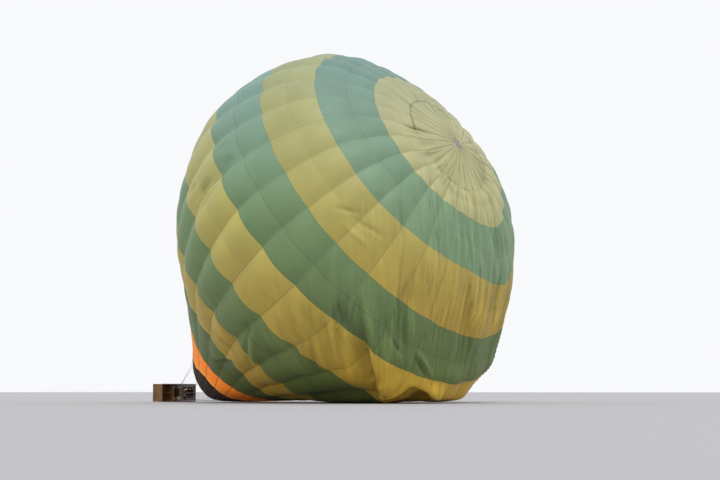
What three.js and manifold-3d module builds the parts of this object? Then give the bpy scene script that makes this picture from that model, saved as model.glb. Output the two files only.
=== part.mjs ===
// Hot air balloon, partly inflated: a leaning envelope, its parachute vent, the wires to the load
// frame, the gimballed four-can burner and a partitioned wicker basket that lies on its side.
// Millimetres, +Z up. The origin is the centre of the envelope's widest ring, +X is the side
// that the top of the envelope leans to, and the ground is a flat plane below.
import * as THREE from 'three';
import { mergeVertices } from 'three/addons/utils/BufferGeometryUtils.js';
import Module from 'manifold-3d';

const wasm = await Module();
wasm.setup();

// Driving dimensions of the envelope
const GORES = 26;
const LEAN = THREE.MathUtils.degToRad(35.6);
const GROUND = -14850;
const SHELL = 10;
const CLEAR = 0.3;

// How far a gore swells between its tapes, as a share of the radius: at the top, and from the ring
// where it starts to grow to the ring where it is full. Near the mouth the fabric is slack and flat.
const SWELL_TOP = 0.006;
const SWELL_FULL = 0.022;
const SWELL_START = 2.8;
const SWELL_END = 6.2;
const SWELL_SLACK_START = 7;
const SWELL_SLACK_END = 9;
const COLUMNS = 2 * GORES;

// Rings where the colours change, from the middle of the top to the mouth.
// Columns: radius, height along the leaning axis
const RINGS = [
  [0, 12000],
  [4500, 11350],
  [7350, 10600],
  [11450, 8400],
  [13900, 4650],
  [15000, 0],
  [13950, -4850],
  [11850, -9050],
  [9100, -12100],
  [6600, -14700],
  [5000, -16400],
  [3900, -17800],
];

// How the half-filled fabric settles. The tail sags from this height down to the mouth.
const TAIL_SAG = 3000;
const TAIL_START = -8000;
const TAIL_END = -17800;

// Slack of the underside. Columns: shift along +X, shift up, middle height, reach
const BELLY = [
  [0, -1600, 3000, 11000],
  [-1500, 0, 7500, 7000],
  [1300, 0, -2500, 6000],
];
const BELLY_FADE = 6000;
const GROUND_SOFTNESS = 350;

// The upper part is a little oval: taller, narrower across and moved to the -Y side
const CROWN_REACH = 10000;
const CROWN_TALL = 0.02;
const CROWN_NARROW = 0.05;
const CROWN_SHIFT = -300;

// The middle of the top lies off the axis: how many rings, towards which tape, and the ring where
// the shift ends
const POLE_SHIFT = 0.24;
const POLE_TAPE = 8.7;
const POLE_FADE = 3.5;

// Where the fabric has slid along its gores. Columns: ring, tape, reach in rings, reach in tapes,
// rings that it slid towards the mouth
const SLIDES = [
  [3.4, 5.2, 3.2, 4.2, -0.24],
  [7.6, 4.6, 1.4, 2.8, 0.45],
  [9.2, 0.5, 1.1, 5, 0.3],
  [10, -1.5, 0.9, 2.5, 0.45],
];

// Bands of fabric between the rings. Columns: name, first ring, last ring, colour, rows
const VENT_LAP = 0.07;
const BANDS = [
  ['crown_band', 1, 2, 0xafb189, [0, VENT_LAP, 0.5, 1]],
  ['green_band_1', 2, 3, 0x81a894, [0, 0.5, 1]],
  ['yellow_band_1', 3, 4, 0xb0a95c, [0, 0.5, 1]],
  ['green_band_2', 4, 5, 0x6f9377, [0, 0.5, 1]],
  ['yellow_band_2', 5, 6, 0xa89a4e, [0, 0.5, 1]],
  ['green_band_3', 6, 7, 0x5f8366, [0, 0.5, 1]],
  ['yellow_band_3', 7, 8, 0xa08a3c, [0, 0.5, 1]],
  ['green_band_4', 8, 9, 0x587553, [0, 0.5, 1]],
  ['lit_band', 9, 10, 0xf09a38, [0, 1]],
  ['mouth_band', 10, 11, 0x3a2c24, [0, 1]],
];
const MOUTH_RING = RINGS.length - 1;

// Where one band ends and the next begins, as a share of a band about 4 m long
const SEAM_TRIM = CLEAR / 4000;

// Top of the envelope: the webbing that crosses the vent hole to the metal ring
const WEB_WIDTH = 50;
const WEB_THICKNESS = 6;
const WEB_LIFT = (WEB_WIDTH / 2) * ((2 * SWELL_TOP * GORES) / Math.PI);
const WEB_ROWS = [0.047, 0.3, 0.65, 1, 1 + VENT_LAP];
const TOP_RING_RADIUS = 230;
const TOP_RING_TUBE = 22;
const TOP_RING_LIFT = 14;
const TOP_MIDDLE = 2e-3;
const VENT_ROWS = [0.012, 0.3, 0.65, 1, 1 + VENT_LAP];

// Basket, in its own frame: Z up out of the open top, Y along the long side
const BASKET_LENGTH = 4400;
const BASKET_WIDTH = 1600;
const BASKET_HEIGHT = 1150;
const WALL = 45;
const FLOOR = 25;
const FLOOR_BASE = 50;
const PILOT_BAY = 1250;
const RIM_RADIUS = 50;
const RIM_SEAT = 40;
const RUNNER_WIDTH = 90;
const RUNNER_PLACES = [-0.36, 0, 0.36];
const BASKET_X = -21800;

// Load frame and burner, in the basket's frame
const FRAME_Z = 2250;
const FRAME_TUBE = 26;
const FRAME_X = 700;
const FRAME_Y = 900;
const UPRIGHT_RADIUS = 28;
const UPRIGHT_TOP_Y = 873;
const GIMBAL_TUBE = 20;
const GIMBAL_X = 560;
const GIMBAL_Y = 720;
const PIN_RADIUS = 14;
const PIN_CLEARANCE = 1;
const LUG = 70;
const PIN_END_GAP = 5;
const CAN_PITCH = 205;
const CAN_RADIUS = 165;
const CAN_HEIGHT = 470;
const CAN_BASE = -60;
const DECK = 60;
const EAR_HALF = 22;
const EAR_SIDE = 45;
const EAR_SETBACK = 20;
const COIL_TURNS = 7;
const COIL_DEPTH = 14;
const CAN_WALL = 22;
const WIRE_RADIUS = 6;
const HOOK_RADIUS = 14;
const HOOK_HALF = 60;
const WIRE_SPREAD = 40;

// Fuel cylinders, upright in the pilot's bay
const FUEL_RADIUS = 185;
const FUEL_HEIGHT = 900;
const FUEL_WALL_GAP = 20;
const FUEL_FOOT = 60;
const FUEL_SHOULDER = 90;

const MATERIALS = {
  webbing: [0xb9b48f, 0.8, 0],
  metal: [0xb8babd, 0.35, 0.9],
  steel: [0x8d9196, 0.4, 0.9],
  wire: [0x6f7276, 0.5, 0.8],
  wicker: [0xa8743c, 0.8, 0],
  plywood: [0xb98f5c, 0.7, 0],
  suede: [0x4a3325, 0.9, 0],
  sleeve: [0x2b2b30, 0.85, 0],
  fuel: [0xc4c7c9, 0.35, 0.8],
};

const balloon = new THREE.Group();

function addMesh(name, geometry, look, parent = balloon) {
  const [color, roughness, metalness] = look;
  const mesh = new THREE.Mesh(geometry, new THREE.MeshStandardMaterial({ color, roughness, metalness }));
  mesh.name = name;
  parent.add(mesh);
  return mesh;
}

function toSolid(geometry) {
  const bare = geometry.clone();
  bare.deleteAttribute('normal');
  bare.deleteAttribute('uv');
  const merged = mergeVertices(bare, 1e-3);
  return new wasm.Manifold(new wasm.Mesh({
    numProp: 3,
    vertProperties: new Float32Array(merged.attributes.position.array),
    triVerts: new Uint32Array(merged.index.array),
  }));
}

function fromSolid(solid) {
  const mesh = solid.getMesh();
  return meshGeometry(mesh.vertProperties, mesh.triVerts);
}

function meshGeometry(positions, triangles) {
  const geometry = new THREE.BufferGeometry();
  geometry.setAttribute('position', new THREE.BufferAttribute(new Float32Array(positions), 3));
  geometry.setIndex(new THREE.BufferAttribute(new Uint32Array(triangles), 1));
  geometry.computeVertexNormals();
  return geometry;
}

function joined(geometries) {
  return fromSolid(geometries.map(toSolid).reduce((whole, next) => whole.add(next)));
}

function boxAt(x0, y0, z0, x1, y1, z1) {
  const geometry = new THREE.BoxGeometry(x1 - x0, y1 - y0, z1 - z0);
  return geometry.translate((x0 + x1) / 2, (y0 + y1) / 2, (z0 + z1) / 2);
}

// A round bar from one point to another
function barBetween(start, end, radius, sides = 8) {
  const along = new THREE.Vector3().subVectors(end, start);
  const geometry = new THREE.CylinderGeometry(radius, radius, along.length(), sides);
  geometry.translate(0, along.length() / 2, 0);
  const turn = new THREE.Quaternion().setFromUnitVectors(new THREE.Vector3(0, 1, 0), along.normalize());
  return geometry.applyQuaternion(turn).translate(start.x, start.y, start.z);
}

// Value and slope of a smooth curve through one column of the ring table
function alongProfile(place, column) {
  const last = RINGS.length - 1;
  const cell = Math.min(Math.max(Math.floor(place), 0), last - 1);
  const u = place - cell;
  const at = (i) => RINGS[Math.min(Math.max(i, 0), last)][column];
  const slope = (i) => {
    if (i <= 0) return column === 0 ? at(1) : 0;
    if (i >= last) return at(last) - at(last - 1);
    return (at(i + 1) - at(i - 1)) / 2;
  };
  const [p0, p1, m0, m1] = [at(cell), at(cell + 1), slope(cell), slope(cell + 1)];
  const [u2, u3] = [u * u, u * u * u];
  return (2 * u3 - 3 * u2 + 1) * p0 + (u3 - 2 * u2 + u) * m0 + (3 * u2 - 2 * u3) * p1 + (u3 - u2) * m1;
}

const bell = (x) => Math.max(0, 1 - x * x) ** 2;
const rise = (x) => THREE.MathUtils.smoothstep(x, 0, 1);

// Tapes are counted from the -Y side towards the lower side
const tapeAngle = (tape) => Math.PI / 2 + (tape * 2 * Math.PI) / GORES;

// Where a point of the sewn pattern lies on the settled form, as its ring and angle there
function slidPlace(ring, patternAngle) {
  const tape = ((patternAngle - Math.PI / 2) * GORES) / (2 * Math.PI);
  let place = ring;
  for (const [middleRing, middleTape, rings, tapes, slide] of SLIDES) {
    const apart = THREE.MathUtils.euclideanModulo(tape - middleTape + GORES / 2, GORES) - GORES / 2;
    place += slide * bell((ring - middleRing) / rings) * bell(apart / tapes);
  }
  const shift = POLE_SHIFT * (1 - rise(ring / POLE_FADE));
  const towards = tapeAngle(POLE_TAPE);
  const across = place * Math.cos(patternAngle) + shift * Math.cos(towards);
  const along = place * Math.sin(patternAngle) + shift * Math.sin(towards);
  return { place: Math.hypot(across, along), angle: Math.atan2(along, across) };
}

// How far the middle of a gore stands out over its tapes, as a share of the radius
function swellAt(ring) {
  const full = rise((ring - SWELL_START) / (SWELL_END - SWELL_START));
  const slack = rise((ring - SWELL_SLACK_START) / (SWELL_SLACK_END - SWELL_SLACK_START));
  return SWELL_TOP + (SWELL_FULL - SWELL_TOP) * full * (1 - slack);
}

// A point of the fabric's outer face. ring counts the rings of seams from the top, and
// patternAngle goes round the pattern from the upper side.
function fabricPoint(ring, patternAngle) {
  const gore = ((patternAngle - Math.PI / 2) * GORES) / (2 * Math.PI);
  const across = gore - Math.floor(gore);
  const { place, angle } = slidPlace(ring, patternAngle);
  const radius = alongProfile(place, 0) * (1 + swellAt(ring) * (4 * across * (1 - across) - 0.3));
  const height = alongProfile(place, 1);
  const crown = rise(height / CROWN_REACH);
  const up = radius * Math.cos(angle) * (1 + CROWN_TALL * crown);
  const y = -radius * Math.sin(angle) * (1 - CROWN_NARROW * crown) + CROWN_SHIFT * crown;
  let x = height * Math.cos(LEAN) - up * Math.sin(LEAN);
  let z = height * Math.sin(LEAN) + up * Math.cos(LEAN);
  const tail = Math.max(0, (TAIL_START - height) / (TAIL_START - TAIL_END));
  z -= TAIL_SAG * tail * tail;
  const underside = Math.max(0, -Math.cos(angle)) ** 2 * rise(radius / BELLY_FADE);
  for (const [shiftX, shiftUp, middle, reach] of BELLY) {
    const slack = underside * bell((height - middle) / reach);
    x += shiftX * slack;
    z += shiftUp * slack;
  }
  return new THREE.Vector3(x, y, GROUND + settle(z - GROUND));
}

// Fabric that would reach below the ground lies on it, with a soft turn where it leaves it
function settle(clearance) {
  return (clearance + Math.hypot(clearance, 2 * GROUND_SOFTNESS)) / 2;
}

// The same point with the fabric's outward normal, the direction round the axis and that of a
// seam's face, which points to the mouth
function fabricFrame(place, angle) {
  const step = 1e-3;
  const low = fabricPoint(Math.max(place - step, 1e-4), angle);
  const down = fabricPoint(place + step, angle).sub(low);
  const round = fabricPoint(place, angle + step).sub(fabricPoint(place, angle - step)).normalize();
  const normal = new THREE.Vector3().crossVectors(down, round).normalize();
  const seam = new THREE.Vector3().crossVectors(round, normal).normalize();
  return { point: fabricPoint(place, angle), normal, round, seam };
}

function offsetPoint(place, angle, offset) {
  const { point, normal } = fabricFrame(place, angle);
  return point.addScaledVector(normal, offset);
}

// A closed shell of fabric between two faces at the given offsets, over the given rows
function fabricShell(places, outer, inner) {
  const positions = [];
  const triangles = [];
  for (const offset of [outer, inner]) {
    for (const place of places) {
      for (let column = 0; column < COLUMNS; column += 1) {
        positions.push(...offsetPoint(place, (column * 2 * Math.PI) / COLUMNS, offset).toArray());
      }
    }
  }
  const index = (face, row, column) => (face * places.length + row) * COLUMNS + (column % COLUMNS);
  const quad = (a, b, c, d) => triangles.push(a, b, c, a, c, d);
  const last = places.length - 1;
  for (let column = 0; column < COLUMNS; column += 1) {
    const next = column + 1;
    for (let row = 0; row < last; row += 1) {
      quad(index(0, row, column), index(0, row + 1, column), index(0, row + 1, next), index(0, row, next));
      quad(index(1, row, column), index(1, row, next), index(1, row + 1, next), index(1, row + 1, column));
    }
    quad(index(0, 0, column), index(0, 0, next), index(1, 0, next), index(1, 0, column));
    quad(index(0, last, column), index(1, last, column), index(1, last, next), index(0, last, next));
  }
  return meshGeometry(positions, triangles);
}

function makeBands() {
  for (const [name, first, last, color, rows] of BANDS) {
    const places = rows.map((row) => THREE.MathUtils.lerp(first + SEAM_TRIM, last - SEAM_TRIM, row));
    addMesh(name, fabricShell(places, 0, -SHELL), [color, 0.75, 0]);
  }
}

// The parachute vent: a round panel that seats against the inside of the vent hole
function makeVent() {
  const outer = -SHELL - CLEAR;
  const panel = fabricShell(VENT_ROWS, outer, outer - SHELL);
  addMesh('vent_panel', panel, [0xafb189, 0.75, 0]);
}

// Webbing over the vent hole, one strip on each tape, and the ring where they meet
function makeTop() {
  const strips = [];
  for (let gore = 0; gore < GORES; gore += 1) {
    strips.push(webStrip(tapeAngle(gore)));
  }
  const top = offsetPoint(TOP_MIDDLE, 0, TOP_RING_LIFT);
  const { normal } = fabricFrame(TOP_MIDDLE, 0);
  const turn = new THREE.Quaternion().setFromUnitVectors(new THREE.Vector3(0, 0, 1), normal);
  const ring = new THREE.TorusGeometry(TOP_RING_RADIUS, TOP_RING_TUBE, 6, GORES);
  ring.applyQuaternion(turn).translate(top.x, top.y, top.z);
  addMesh('crown_webbing', joined([...strips, ring]), MATERIALS.webbing);
}

// A strip of webbing lies in the valley between two gores, so its edges are higher than its middle
function webStrip(angle) {
  // Columns: sign across the strip, lift
  const section = [
    [-1, WEB_LIFT],
    [0, 0],
    [1, WEB_LIFT],
    [1, WEB_LIFT + WEB_THICKNESS],
    [0, WEB_THICKNESS],
    [-1, WEB_LIFT + WEB_THICKNESS],
  ];
  const sides = section.length;
  const positions = [];
  for (const place of WEB_ROWS) {
    const { point, normal, round } = fabricFrame(place, angle);
    for (const [sign, lift] of section) {
      const corner = point.clone().addScaledVector(normal, CLEAR + lift);
      positions.push(...corner.addScaledVector(round, (sign * WEB_WIDTH) / 2).toArray());
    }
  }
  const triangles = [];
  const quad = (a, b, c, d) => triangles.push(a, b, d, b, c, d);
  const last = (WEB_ROWS.length - 1) * sides;
  for (let row = 0; row < last; row += sides) {
    for (let edge = 0; edge < sides; edge += 1) {
      const [a, b] = [row + edge, row + ((edge + 1) % sides)];
      quad(a, b, b + sides, a + sides);
    }
  }
  quad(0, 5, 4, 1);
  quad(1, 4, 3, 2);
  quad(last, last + 1, last + 4, last + 5);
  quad(last + 1, last + 2, last + 3, last + 4);
  return meshGeometry(positions, triangles);
}

// The basket, frame and burner share one group: its Z is the basket's up, which points at the mouth
const gondola = new THREE.Group();
gondola.rotation.y = Math.PI / 2;
gondola.position.set(BASKET_X, 0, GROUND + BASKET_WIDTH / 2 + RIM_RADIUS - WALL / 2);
balloon.add(gondola);

function makeBasket() {
  const [x, y] = [BASKET_WIDTH / 2, BASKET_LENGTH / 2];
  const low = FLOOR_BASE + FLOOR + CLEAR;
  addMesh('basket_floor', boxAt(-x, -y, FLOOR_BASE, x, y, FLOOR_BASE + FLOOR), MATERIALS.plywood, gondola);
  // Columns: name, sign of the side
  for (const [name, side] of [['basket_wall_top', -1], ['basket_wall_ground', 1]]) {
    const [inner, outer] = [x - WALL, x].map((value) => value * side).sort((a, b) => a - b);
    addMesh(name, boxAt(inner, -y, low, outer, y, BASKET_HEIGHT), MATERIALS.wicker, gondola);
  }
  const within = x - WALL - CLEAR;
  for (const [name, side] of [['basket_end_left', -1], ['basket_end_right', 1]]) {
    const [inner, outer] = [y - WALL, y].map((value) => value * side).sort((a, b) => a - b);
    addMesh(name, boxAt(-within, inner, low, within, outer, BASKET_HEIGHT), MATERIALS.wicker, gondola);
  }
  for (const [name, side] of [['basket_partition_left', -1], ['basket_partition_right', 1]]) {
    const near = PILOT_BAY / 2;
    const [inner, outer] = [near, near + WALL].map((value) => value * side).sort((a, b) => a - b);
    addMesh(name, boxAt(-within, inner, low, within, outer, BASKET_HEIGHT), MATERIALS.wicker, gondola);
    const [start, end] = [near + WALL + CLEAR, y - WALL - CLEAR];
    const [first, second] = [start, end].map((value) => value * side).sort((a, b) => a - b);
    const divider = boxAt(-WALL / 2, first, low, WALL / 2, second, BASKET_HEIGHT);
    addMesh(name.replace('partition', 'divider'), divider, MATERIALS.wicker, gondola);
  }
}

function makeRim() {
  const [x, y] = [(BASKET_WIDTH - WALL) / 2, (BASKET_LENGTH - WALL) / 2];
  const z = BASKET_HEIGHT + CLEAR + RIM_SEAT;
  const flat = boxAt(-BASKET_WIDTH, -BASKET_LENGTH, 0, BASKET_WIDTH, BASKET_LENGTH, BASKET_HEIGHT + CLEAR);
  const corners = [[-x, -y], [x, -y], [x, y], [-x, y]].map(([px, py]) => new THREE.Vector3(px, py, z));
  const bars = [];
  corners.forEach((corner, i) => {
    bars.push(barBetween(corner, corners[(i + 1) % 4], RIM_RADIUS, 10));
    bars.push(new THREE.SphereGeometry(RIM_RADIUS, 10, 8).translate(corner.x, corner.y, corner.z));
  });
  const rim = bars.map(toSolid).reduce((whole, next) => whole.add(next)).subtract(toSolid(flat));
  addMesh('basket_rim', fromSolid(rim), MATERIALS.suede, gondola);
}

function makeRunners() {
  for (const [index, place] of RUNNER_PLACES.entries()) {
    const middle = place * BASKET_LENGTH;
    const bar = boxAt(
      -BASKET_WIDTH / 2, middle - RUNNER_WIDTH / 2, 0,
      BASKET_WIDTH / 2, middle + RUNNER_WIDTH / 2, FLOOR_BASE - CLEAR,
    );
    addMesh(`basket_runner_${index + 1}`, bar, MATERIALS.plywood, gondola);
  }
}

function makeFuel() {
  const z = FLOOR_BASE + FLOOR + CLEAR;
  const x = BASKET_WIDTH / 2 - WALL - FUEL_RADIUS - FUEL_WALL_GAP;
  const y = PILOT_BAY / 2 - FUEL_RADIUS - FUEL_WALL_GAP;
  // Columns: share of the radius, height
  const profile = [
    [0, 0],
    [0.8, 0],
    [1, FUEL_FOOT],
    [1, FUEL_HEIGHT - FUEL_SHOULDER],
    [0.7, FUEL_HEIGHT],
    [0, FUEL_HEIGHT],
  ].map(([share, height]) => new THREE.Vector2(share * FUEL_RADIUS, height));
  // Columns: sign across, sign along
  for (const [index, [sx, sy]] of [[-1, -1], [1, -1], [1, 1], [-1, 1]].entries()) {
    const bottle = new THREE.LatheGeometry(profile, 16).rotateX(Math.PI / 2);
    bottle.translate(sx * x, sy * y, z);
    addMesh(`fuel_cylinder_${index + 1}`, bottle, MATERIALS.fuel, gondola);
  }
}

// A rectangle of round tube with ball corners
function tubeRectangle(x, y, radius, sides = 8) {
  const corners = [[-x, -y], [x, -y], [x, y], [-x, y]].map(([px, py]) => new THREE.Vector3(px, py, 0));
  const bars = [];
  corners.forEach((corner, i) => {
    bars.push(barBetween(corner, corners[(i + 1) % 4], radius, sides));
    bars.push(new THREE.SphereGeometry(radius, sides, 6).translate(corner.x, corner.y, 0));
  });
  return bars.map(toSolid).reduce((whole, next) => whole.add(next));
}

function makeLoadFrame() {
  let frame = tubeRectangle(FRAME_X, FRAME_Y, FRAME_TUBE);
  for (const side of [-1, 1]) {
    const y = side * (FRAME_Y - LUG / 2);
    const lug = boxAt(-LUG / 2, y - LUG / 2, -LUG / 2, LUG / 2, y + LUG / 2, LUG / 2);
    frame = frame.add(toSolid(lug));
  }
  const bore = new THREE.CylinderGeometry(PIN_RADIUS + PIN_CLEARANCE, PIN_RADIUS + PIN_CLEARANCE, 4 * FRAME_Y, 12);
  frame = frame.subtract(toSolid(bore));
  const mesh = addMesh('load_frame', fromSolid(frame), MATERIALS.metal, gondola);
  mesh.position.z = FRAME_Z;
  const [x, y] = [BASKET_WIDTH / 2 - WALL / 2, PILOT_BAY / 2];
  const foot = BASKET_HEIGHT + RIM_SEAT + RIM_RADIUS + 2 * CLEAR;
  const spare = 2 * UPRIGHT_RADIUS;
  for (const [index, [sx, sy]] of [[-1, -1], [1, -1], [1, 1], [-1, 1]].entries()) {
    const start = new THREE.Vector3(sx * x, sy * y, foot - spare);
    const end = new THREE.Vector3(sx * FRAME_X, sy * UPRIGHT_TOP_Y, FRAME_Z - FRAME_TUBE + spare);
    const [low, high] = [foot, FRAME_Z - FRAME_TUBE - CLEAR];
    const room = boxAt(-BASKET_WIDTH, -BASKET_LENGTH, low, BASKET_WIDTH, BASKET_LENGTH, high);
    const rod = toSolid(barBetween(start, end, UPRIGHT_RADIUS, 10)).intersect(toSolid(room));
    addMesh(`upright_${index + 1}`, fromSolid(rod), MATERIALS.sleeve, gondola);
  }
}

function makeGimbal() {
  let ring = tubeRectangle(GIMBAL_X, GIMBAL_Y, GIMBAL_TUBE);
  const reach = FRAME_Y - PIN_END_GAP;
  for (const side of [-1, 1]) {
    const start = new THREE.Vector3(0, side * GIMBAL_Y, 0);
    ring = ring.add(toSolid(barBetween(start, new THREE.Vector3(0, side * reach, 0), PIN_RADIUS, 12)));
    const x = side * (GIMBAL_X - LUG / 2);
    ring = ring.add(toSolid(boxAt(x - LUG / 2, -LUG / 2, -LUG / 2, x + LUG / 2, LUG / 2, LUG / 2)));
  }
  const bore = new THREE.CylinderGeometry(PIN_RADIUS + PIN_CLEARANCE, PIN_RADIUS + PIN_CLEARANCE, 4 * GIMBAL_X, 12);
  ring = ring.subtract(toSolid(bore.rotateZ(Math.PI / 2)));
  addMesh('gimbal_ring', fromSolid(ring), MATERIALS.metal, gondola).position.z = FRAME_Z;
}

// The block that carries the four cans, with the pins that it tilts on
function makeBurner() {
  const half = CAN_PITCH + CAN_RADIUS;
  const deck = CAN_BASE - CLEAR;
  const plate = boxAt(-half, -half, deck - DECK, half, half, deck);
  let block = toSolid(plate);
  for (const side of [-1, 1]) {
    const ear = side * (half + EAR_SETBACK);
    const plateEar = boxAt(ear - EAR_HALF, -EAR_SIDE, deck - DECK, ear + EAR_HALF, EAR_SIDE, EAR_SIDE);
    block = block.add(toSolid(plateEar));
    const [start, end] = [half, GIMBAL_X - PIN_END_GAP].map((px) => new THREE.Vector3(side * px, 0, 0));
    block = block.add(toSolid(barBetween(start, end, PIN_RADIUS, 12)));
  }
  addMesh('burner_block', fromSolid(block), MATERIALS.steel, gondola).position.z = FRAME_Z;
  // Columns: sign across, sign along
  for (const [index, [sx, sy]] of [[-1, -1], [1, -1], [1, 1], [-1, 1]].entries()) {
    const can = burnerCan().translate(sx * CAN_PITCH, sy * CAN_PITCH, CAN_BASE);
    addMesh(`burner_can_${index + 1}`, can, MATERIALS.steel, gondola).position.z = FRAME_Z;
  }
}

// One burner can: a stack of coil turns outside, a plain bore inside and a floor at its foot
function burnerCan() {
  const bore = CAN_RADIUS - CAN_WALL - COIL_DEPTH;
  const turn = CAN_HEIGHT / COIL_TURNS;
  const points = [new THREE.Vector2(0, 0), new THREE.Vector2(CAN_RADIUS - COIL_DEPTH, 0)];
  for (let i = 0; i < COIL_TURNS; i += 1) {
    points.push(new THREE.Vector2(CAN_RADIUS, (i + 0.5) * turn));
    points.push(new THREE.Vector2(CAN_RADIUS - COIL_DEPTH, (i + 1) * turn));
  }
  points.push(new THREE.Vector2(bore, CAN_HEIGHT), new THREE.Vector2(bore, CAN_WALL));
  points.push(new THREE.Vector2(0, CAN_WALL));
  return new THREE.LatheGeometry(points, 16).rotateX(Math.PI / 2);
}

// Flying wires: three main stays of the mouth gather on a short bar at each corner of the frame
function makeWires() {
  gondola.updateMatrixWorld(true);
  const rim = MOUTH_RING - SEAM_TRIM;
  // Columns: sign across, sign along, tapes that the corner carries
  const corners = [
    [-1, -1, [-5, -3, -1]],
    [1, -1, [1, 3, 5]],
    [1, 1, [8, 10, 12]],
    [-1, 1, [14, 16, 18]],
  ];
  for (const [index, [sx, sy, tapes]] of corners.entries()) {
    const corner = new THREE.Vector3(sx * FRAME_X, sy * FRAME_Y, FRAME_Z + FRAME_TUBE + HOOK_RADIUS + CLEAR);
    corner.applyMatrix4(gondola.matrixWorld);
    const [low, high] = [-HOOK_HALF, HOOK_HALF].map((y) => corner.clone().add(new THREE.Vector3(0, y, 0)));
    const pieces = [barBetween(low, high, HOOK_RADIUS, 8)];
    for (const [place, tape] of tapes.entries()) {
      const start = corner.clone().add(new THREE.Vector3(0, (place - 1) * sx * WIRE_SPREAD, 0));
      const angle = tapeAngle(tape);
      const { seam } = fabricFrame(rim, angle);
      const end = offsetPoint(rim, angle, -SHELL / 2);
      const back = new THREE.Vector3().subVectors(start, end).normalize();
      const facing = back.dot(seam);
      end.addScaledVector(back, (CLEAR + WIRE_RADIUS * Math.sqrt(1 - facing * facing)) / facing);
      pieces.push(barBetween(start, end, WIRE_RADIUS, 6));
    }
    addMesh(`flying_wires_${index + 1}`, joined(pieces), MATERIALS.wire);
  }
}

makeBands();
makeVent();
makeTop();
makeBasket();
makeRim();
makeRunners();
makeFuel();
makeLoadFrame();
makeGimbal();
makeBurner();
makeWires();

export default balloon;
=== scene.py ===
# %% [markdown]
# # A leaning hot air balloon, dressed around its frame
# The frame holds every solid at its real size, in metres, with +Z up. This lesson adds the looks:
# cloth with seams and folds, load tapes, a woven basket, a burner with real coils, and the finish
# of every surface. The widest ring of the envelope is at the origin, and the ground is below.

# %% Load the frame
import math

import bmesh
import bpy
import numpy as np
from mathutils import Matrix, Vector


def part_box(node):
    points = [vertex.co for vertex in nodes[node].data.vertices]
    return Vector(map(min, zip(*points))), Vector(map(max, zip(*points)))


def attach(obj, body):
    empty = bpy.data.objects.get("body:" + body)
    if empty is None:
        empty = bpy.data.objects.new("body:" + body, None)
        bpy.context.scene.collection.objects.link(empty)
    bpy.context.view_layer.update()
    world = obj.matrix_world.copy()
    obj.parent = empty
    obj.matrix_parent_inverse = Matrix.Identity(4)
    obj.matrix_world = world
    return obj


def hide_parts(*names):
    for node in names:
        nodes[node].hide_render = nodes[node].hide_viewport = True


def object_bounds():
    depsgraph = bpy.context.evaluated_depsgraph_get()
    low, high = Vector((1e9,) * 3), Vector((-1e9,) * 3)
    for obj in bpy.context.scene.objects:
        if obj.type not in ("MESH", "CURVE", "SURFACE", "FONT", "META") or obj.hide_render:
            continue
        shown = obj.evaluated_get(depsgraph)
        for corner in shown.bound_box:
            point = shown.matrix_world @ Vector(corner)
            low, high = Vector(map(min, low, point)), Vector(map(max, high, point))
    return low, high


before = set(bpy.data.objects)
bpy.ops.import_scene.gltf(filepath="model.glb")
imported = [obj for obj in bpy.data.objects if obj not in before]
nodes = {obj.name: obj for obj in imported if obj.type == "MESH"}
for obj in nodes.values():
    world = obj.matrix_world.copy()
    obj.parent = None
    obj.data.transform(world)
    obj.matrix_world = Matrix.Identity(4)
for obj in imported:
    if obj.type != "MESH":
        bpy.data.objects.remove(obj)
scene = bpy.context.scene
cad_box = [list(corner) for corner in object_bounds()]
print("frame:", len(nodes), "nodes", [[round(v, 2) for v in corner] for corner in cad_box])

# %% [markdown]
# ## Camera
# The balloon is seen from eye height above level ground, 125 m away, with a long lens. The lens comes
# from the picture's width in pixels and its focal length in pixels, and the horizon's row in the
# picture gives the upward pitch. Depth of field and shift stay off.

# %% Camera
PHOTO_WIDTH = 720
PHOTO_HEIGHT = 480
FOCAL_PIXELS = 1500
HORIZON_ROW = 391
SENSOR = 36.0
FAR_END = 4000
EYE = Vector((77.2, -99.91, -13.86))
LOOK_AZIMUTH = math.radians(37.54)

lens = bpy.data.cameras.new("camera")
lens.sensor_width = SENSOR
lens.lens = SENSOR * FOCAL_PIXELS / PHOTO_WIDTH
lens.clip_end = FAR_END
camera = bpy.data.objects.new("camera", lens)
scene.collection.objects.link(camera)
pitch = math.atan2(HORIZON_ROW - PHOTO_HEIGHT / 2, FOCAL_PIXELS)
camera.location = EYE
camera.rotation_euler = (math.pi / 2 + pitch, 0, LOOK_AZIMUTH)
scene.camera = camera
print("camera: lens", round(lens.lens, 1), "mm, pitch", round(math.degrees(pitch), 2), "degrees")

# %% [markdown]
# ## Small tools
# Four helpers are used all through the lesson. One puts a mesh into the scene, one makes an object
# from points, faces and edges, one keeps what modifiers or a Geometry Nodes tree make of an object
# as a plain mesh, and one counts triangles.

# %% Small tools
def in_scene(name, mesh):
    made = bpy.data.objects.new(name, mesh)
    scene.collection.objects.link(made)
    return made


def mesh_object(name, points, faces=(), edges=(), smooth=True):
    """An object at the origin whose place is in its mesh."""
    mesh = bpy.data.meshes.new(name)
    points = [tuple(map(float, point)) for point in points]
    mesh.from_pydata(points, list(edges), [tuple(map(int, face)) for face in faces])
    mesh.polygons.foreach_set("use_smooth", [smooth] * len(mesh.polygons))
    mesh.update()
    return in_scene(name, mesh)


def keep_as_mesh(source, name, place=None):
    """The evaluated result of an object as a plain mesh, moved by the matrix place."""
    graph = bpy.context.evaluated_depsgraph_get()
    graph.update()
    mesh = bpy.data.meshes.new_from_object(source.evaluated_get(graph))
    bpy.data.objects.remove(source)
    if place is not None:
        mesh.transform(place)
    mesh.name = name
    return in_scene(name, mesh)


def triangles(piece):
    return sum(len(face.vertices) - 2 for face in piece.data.polygons)


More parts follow.
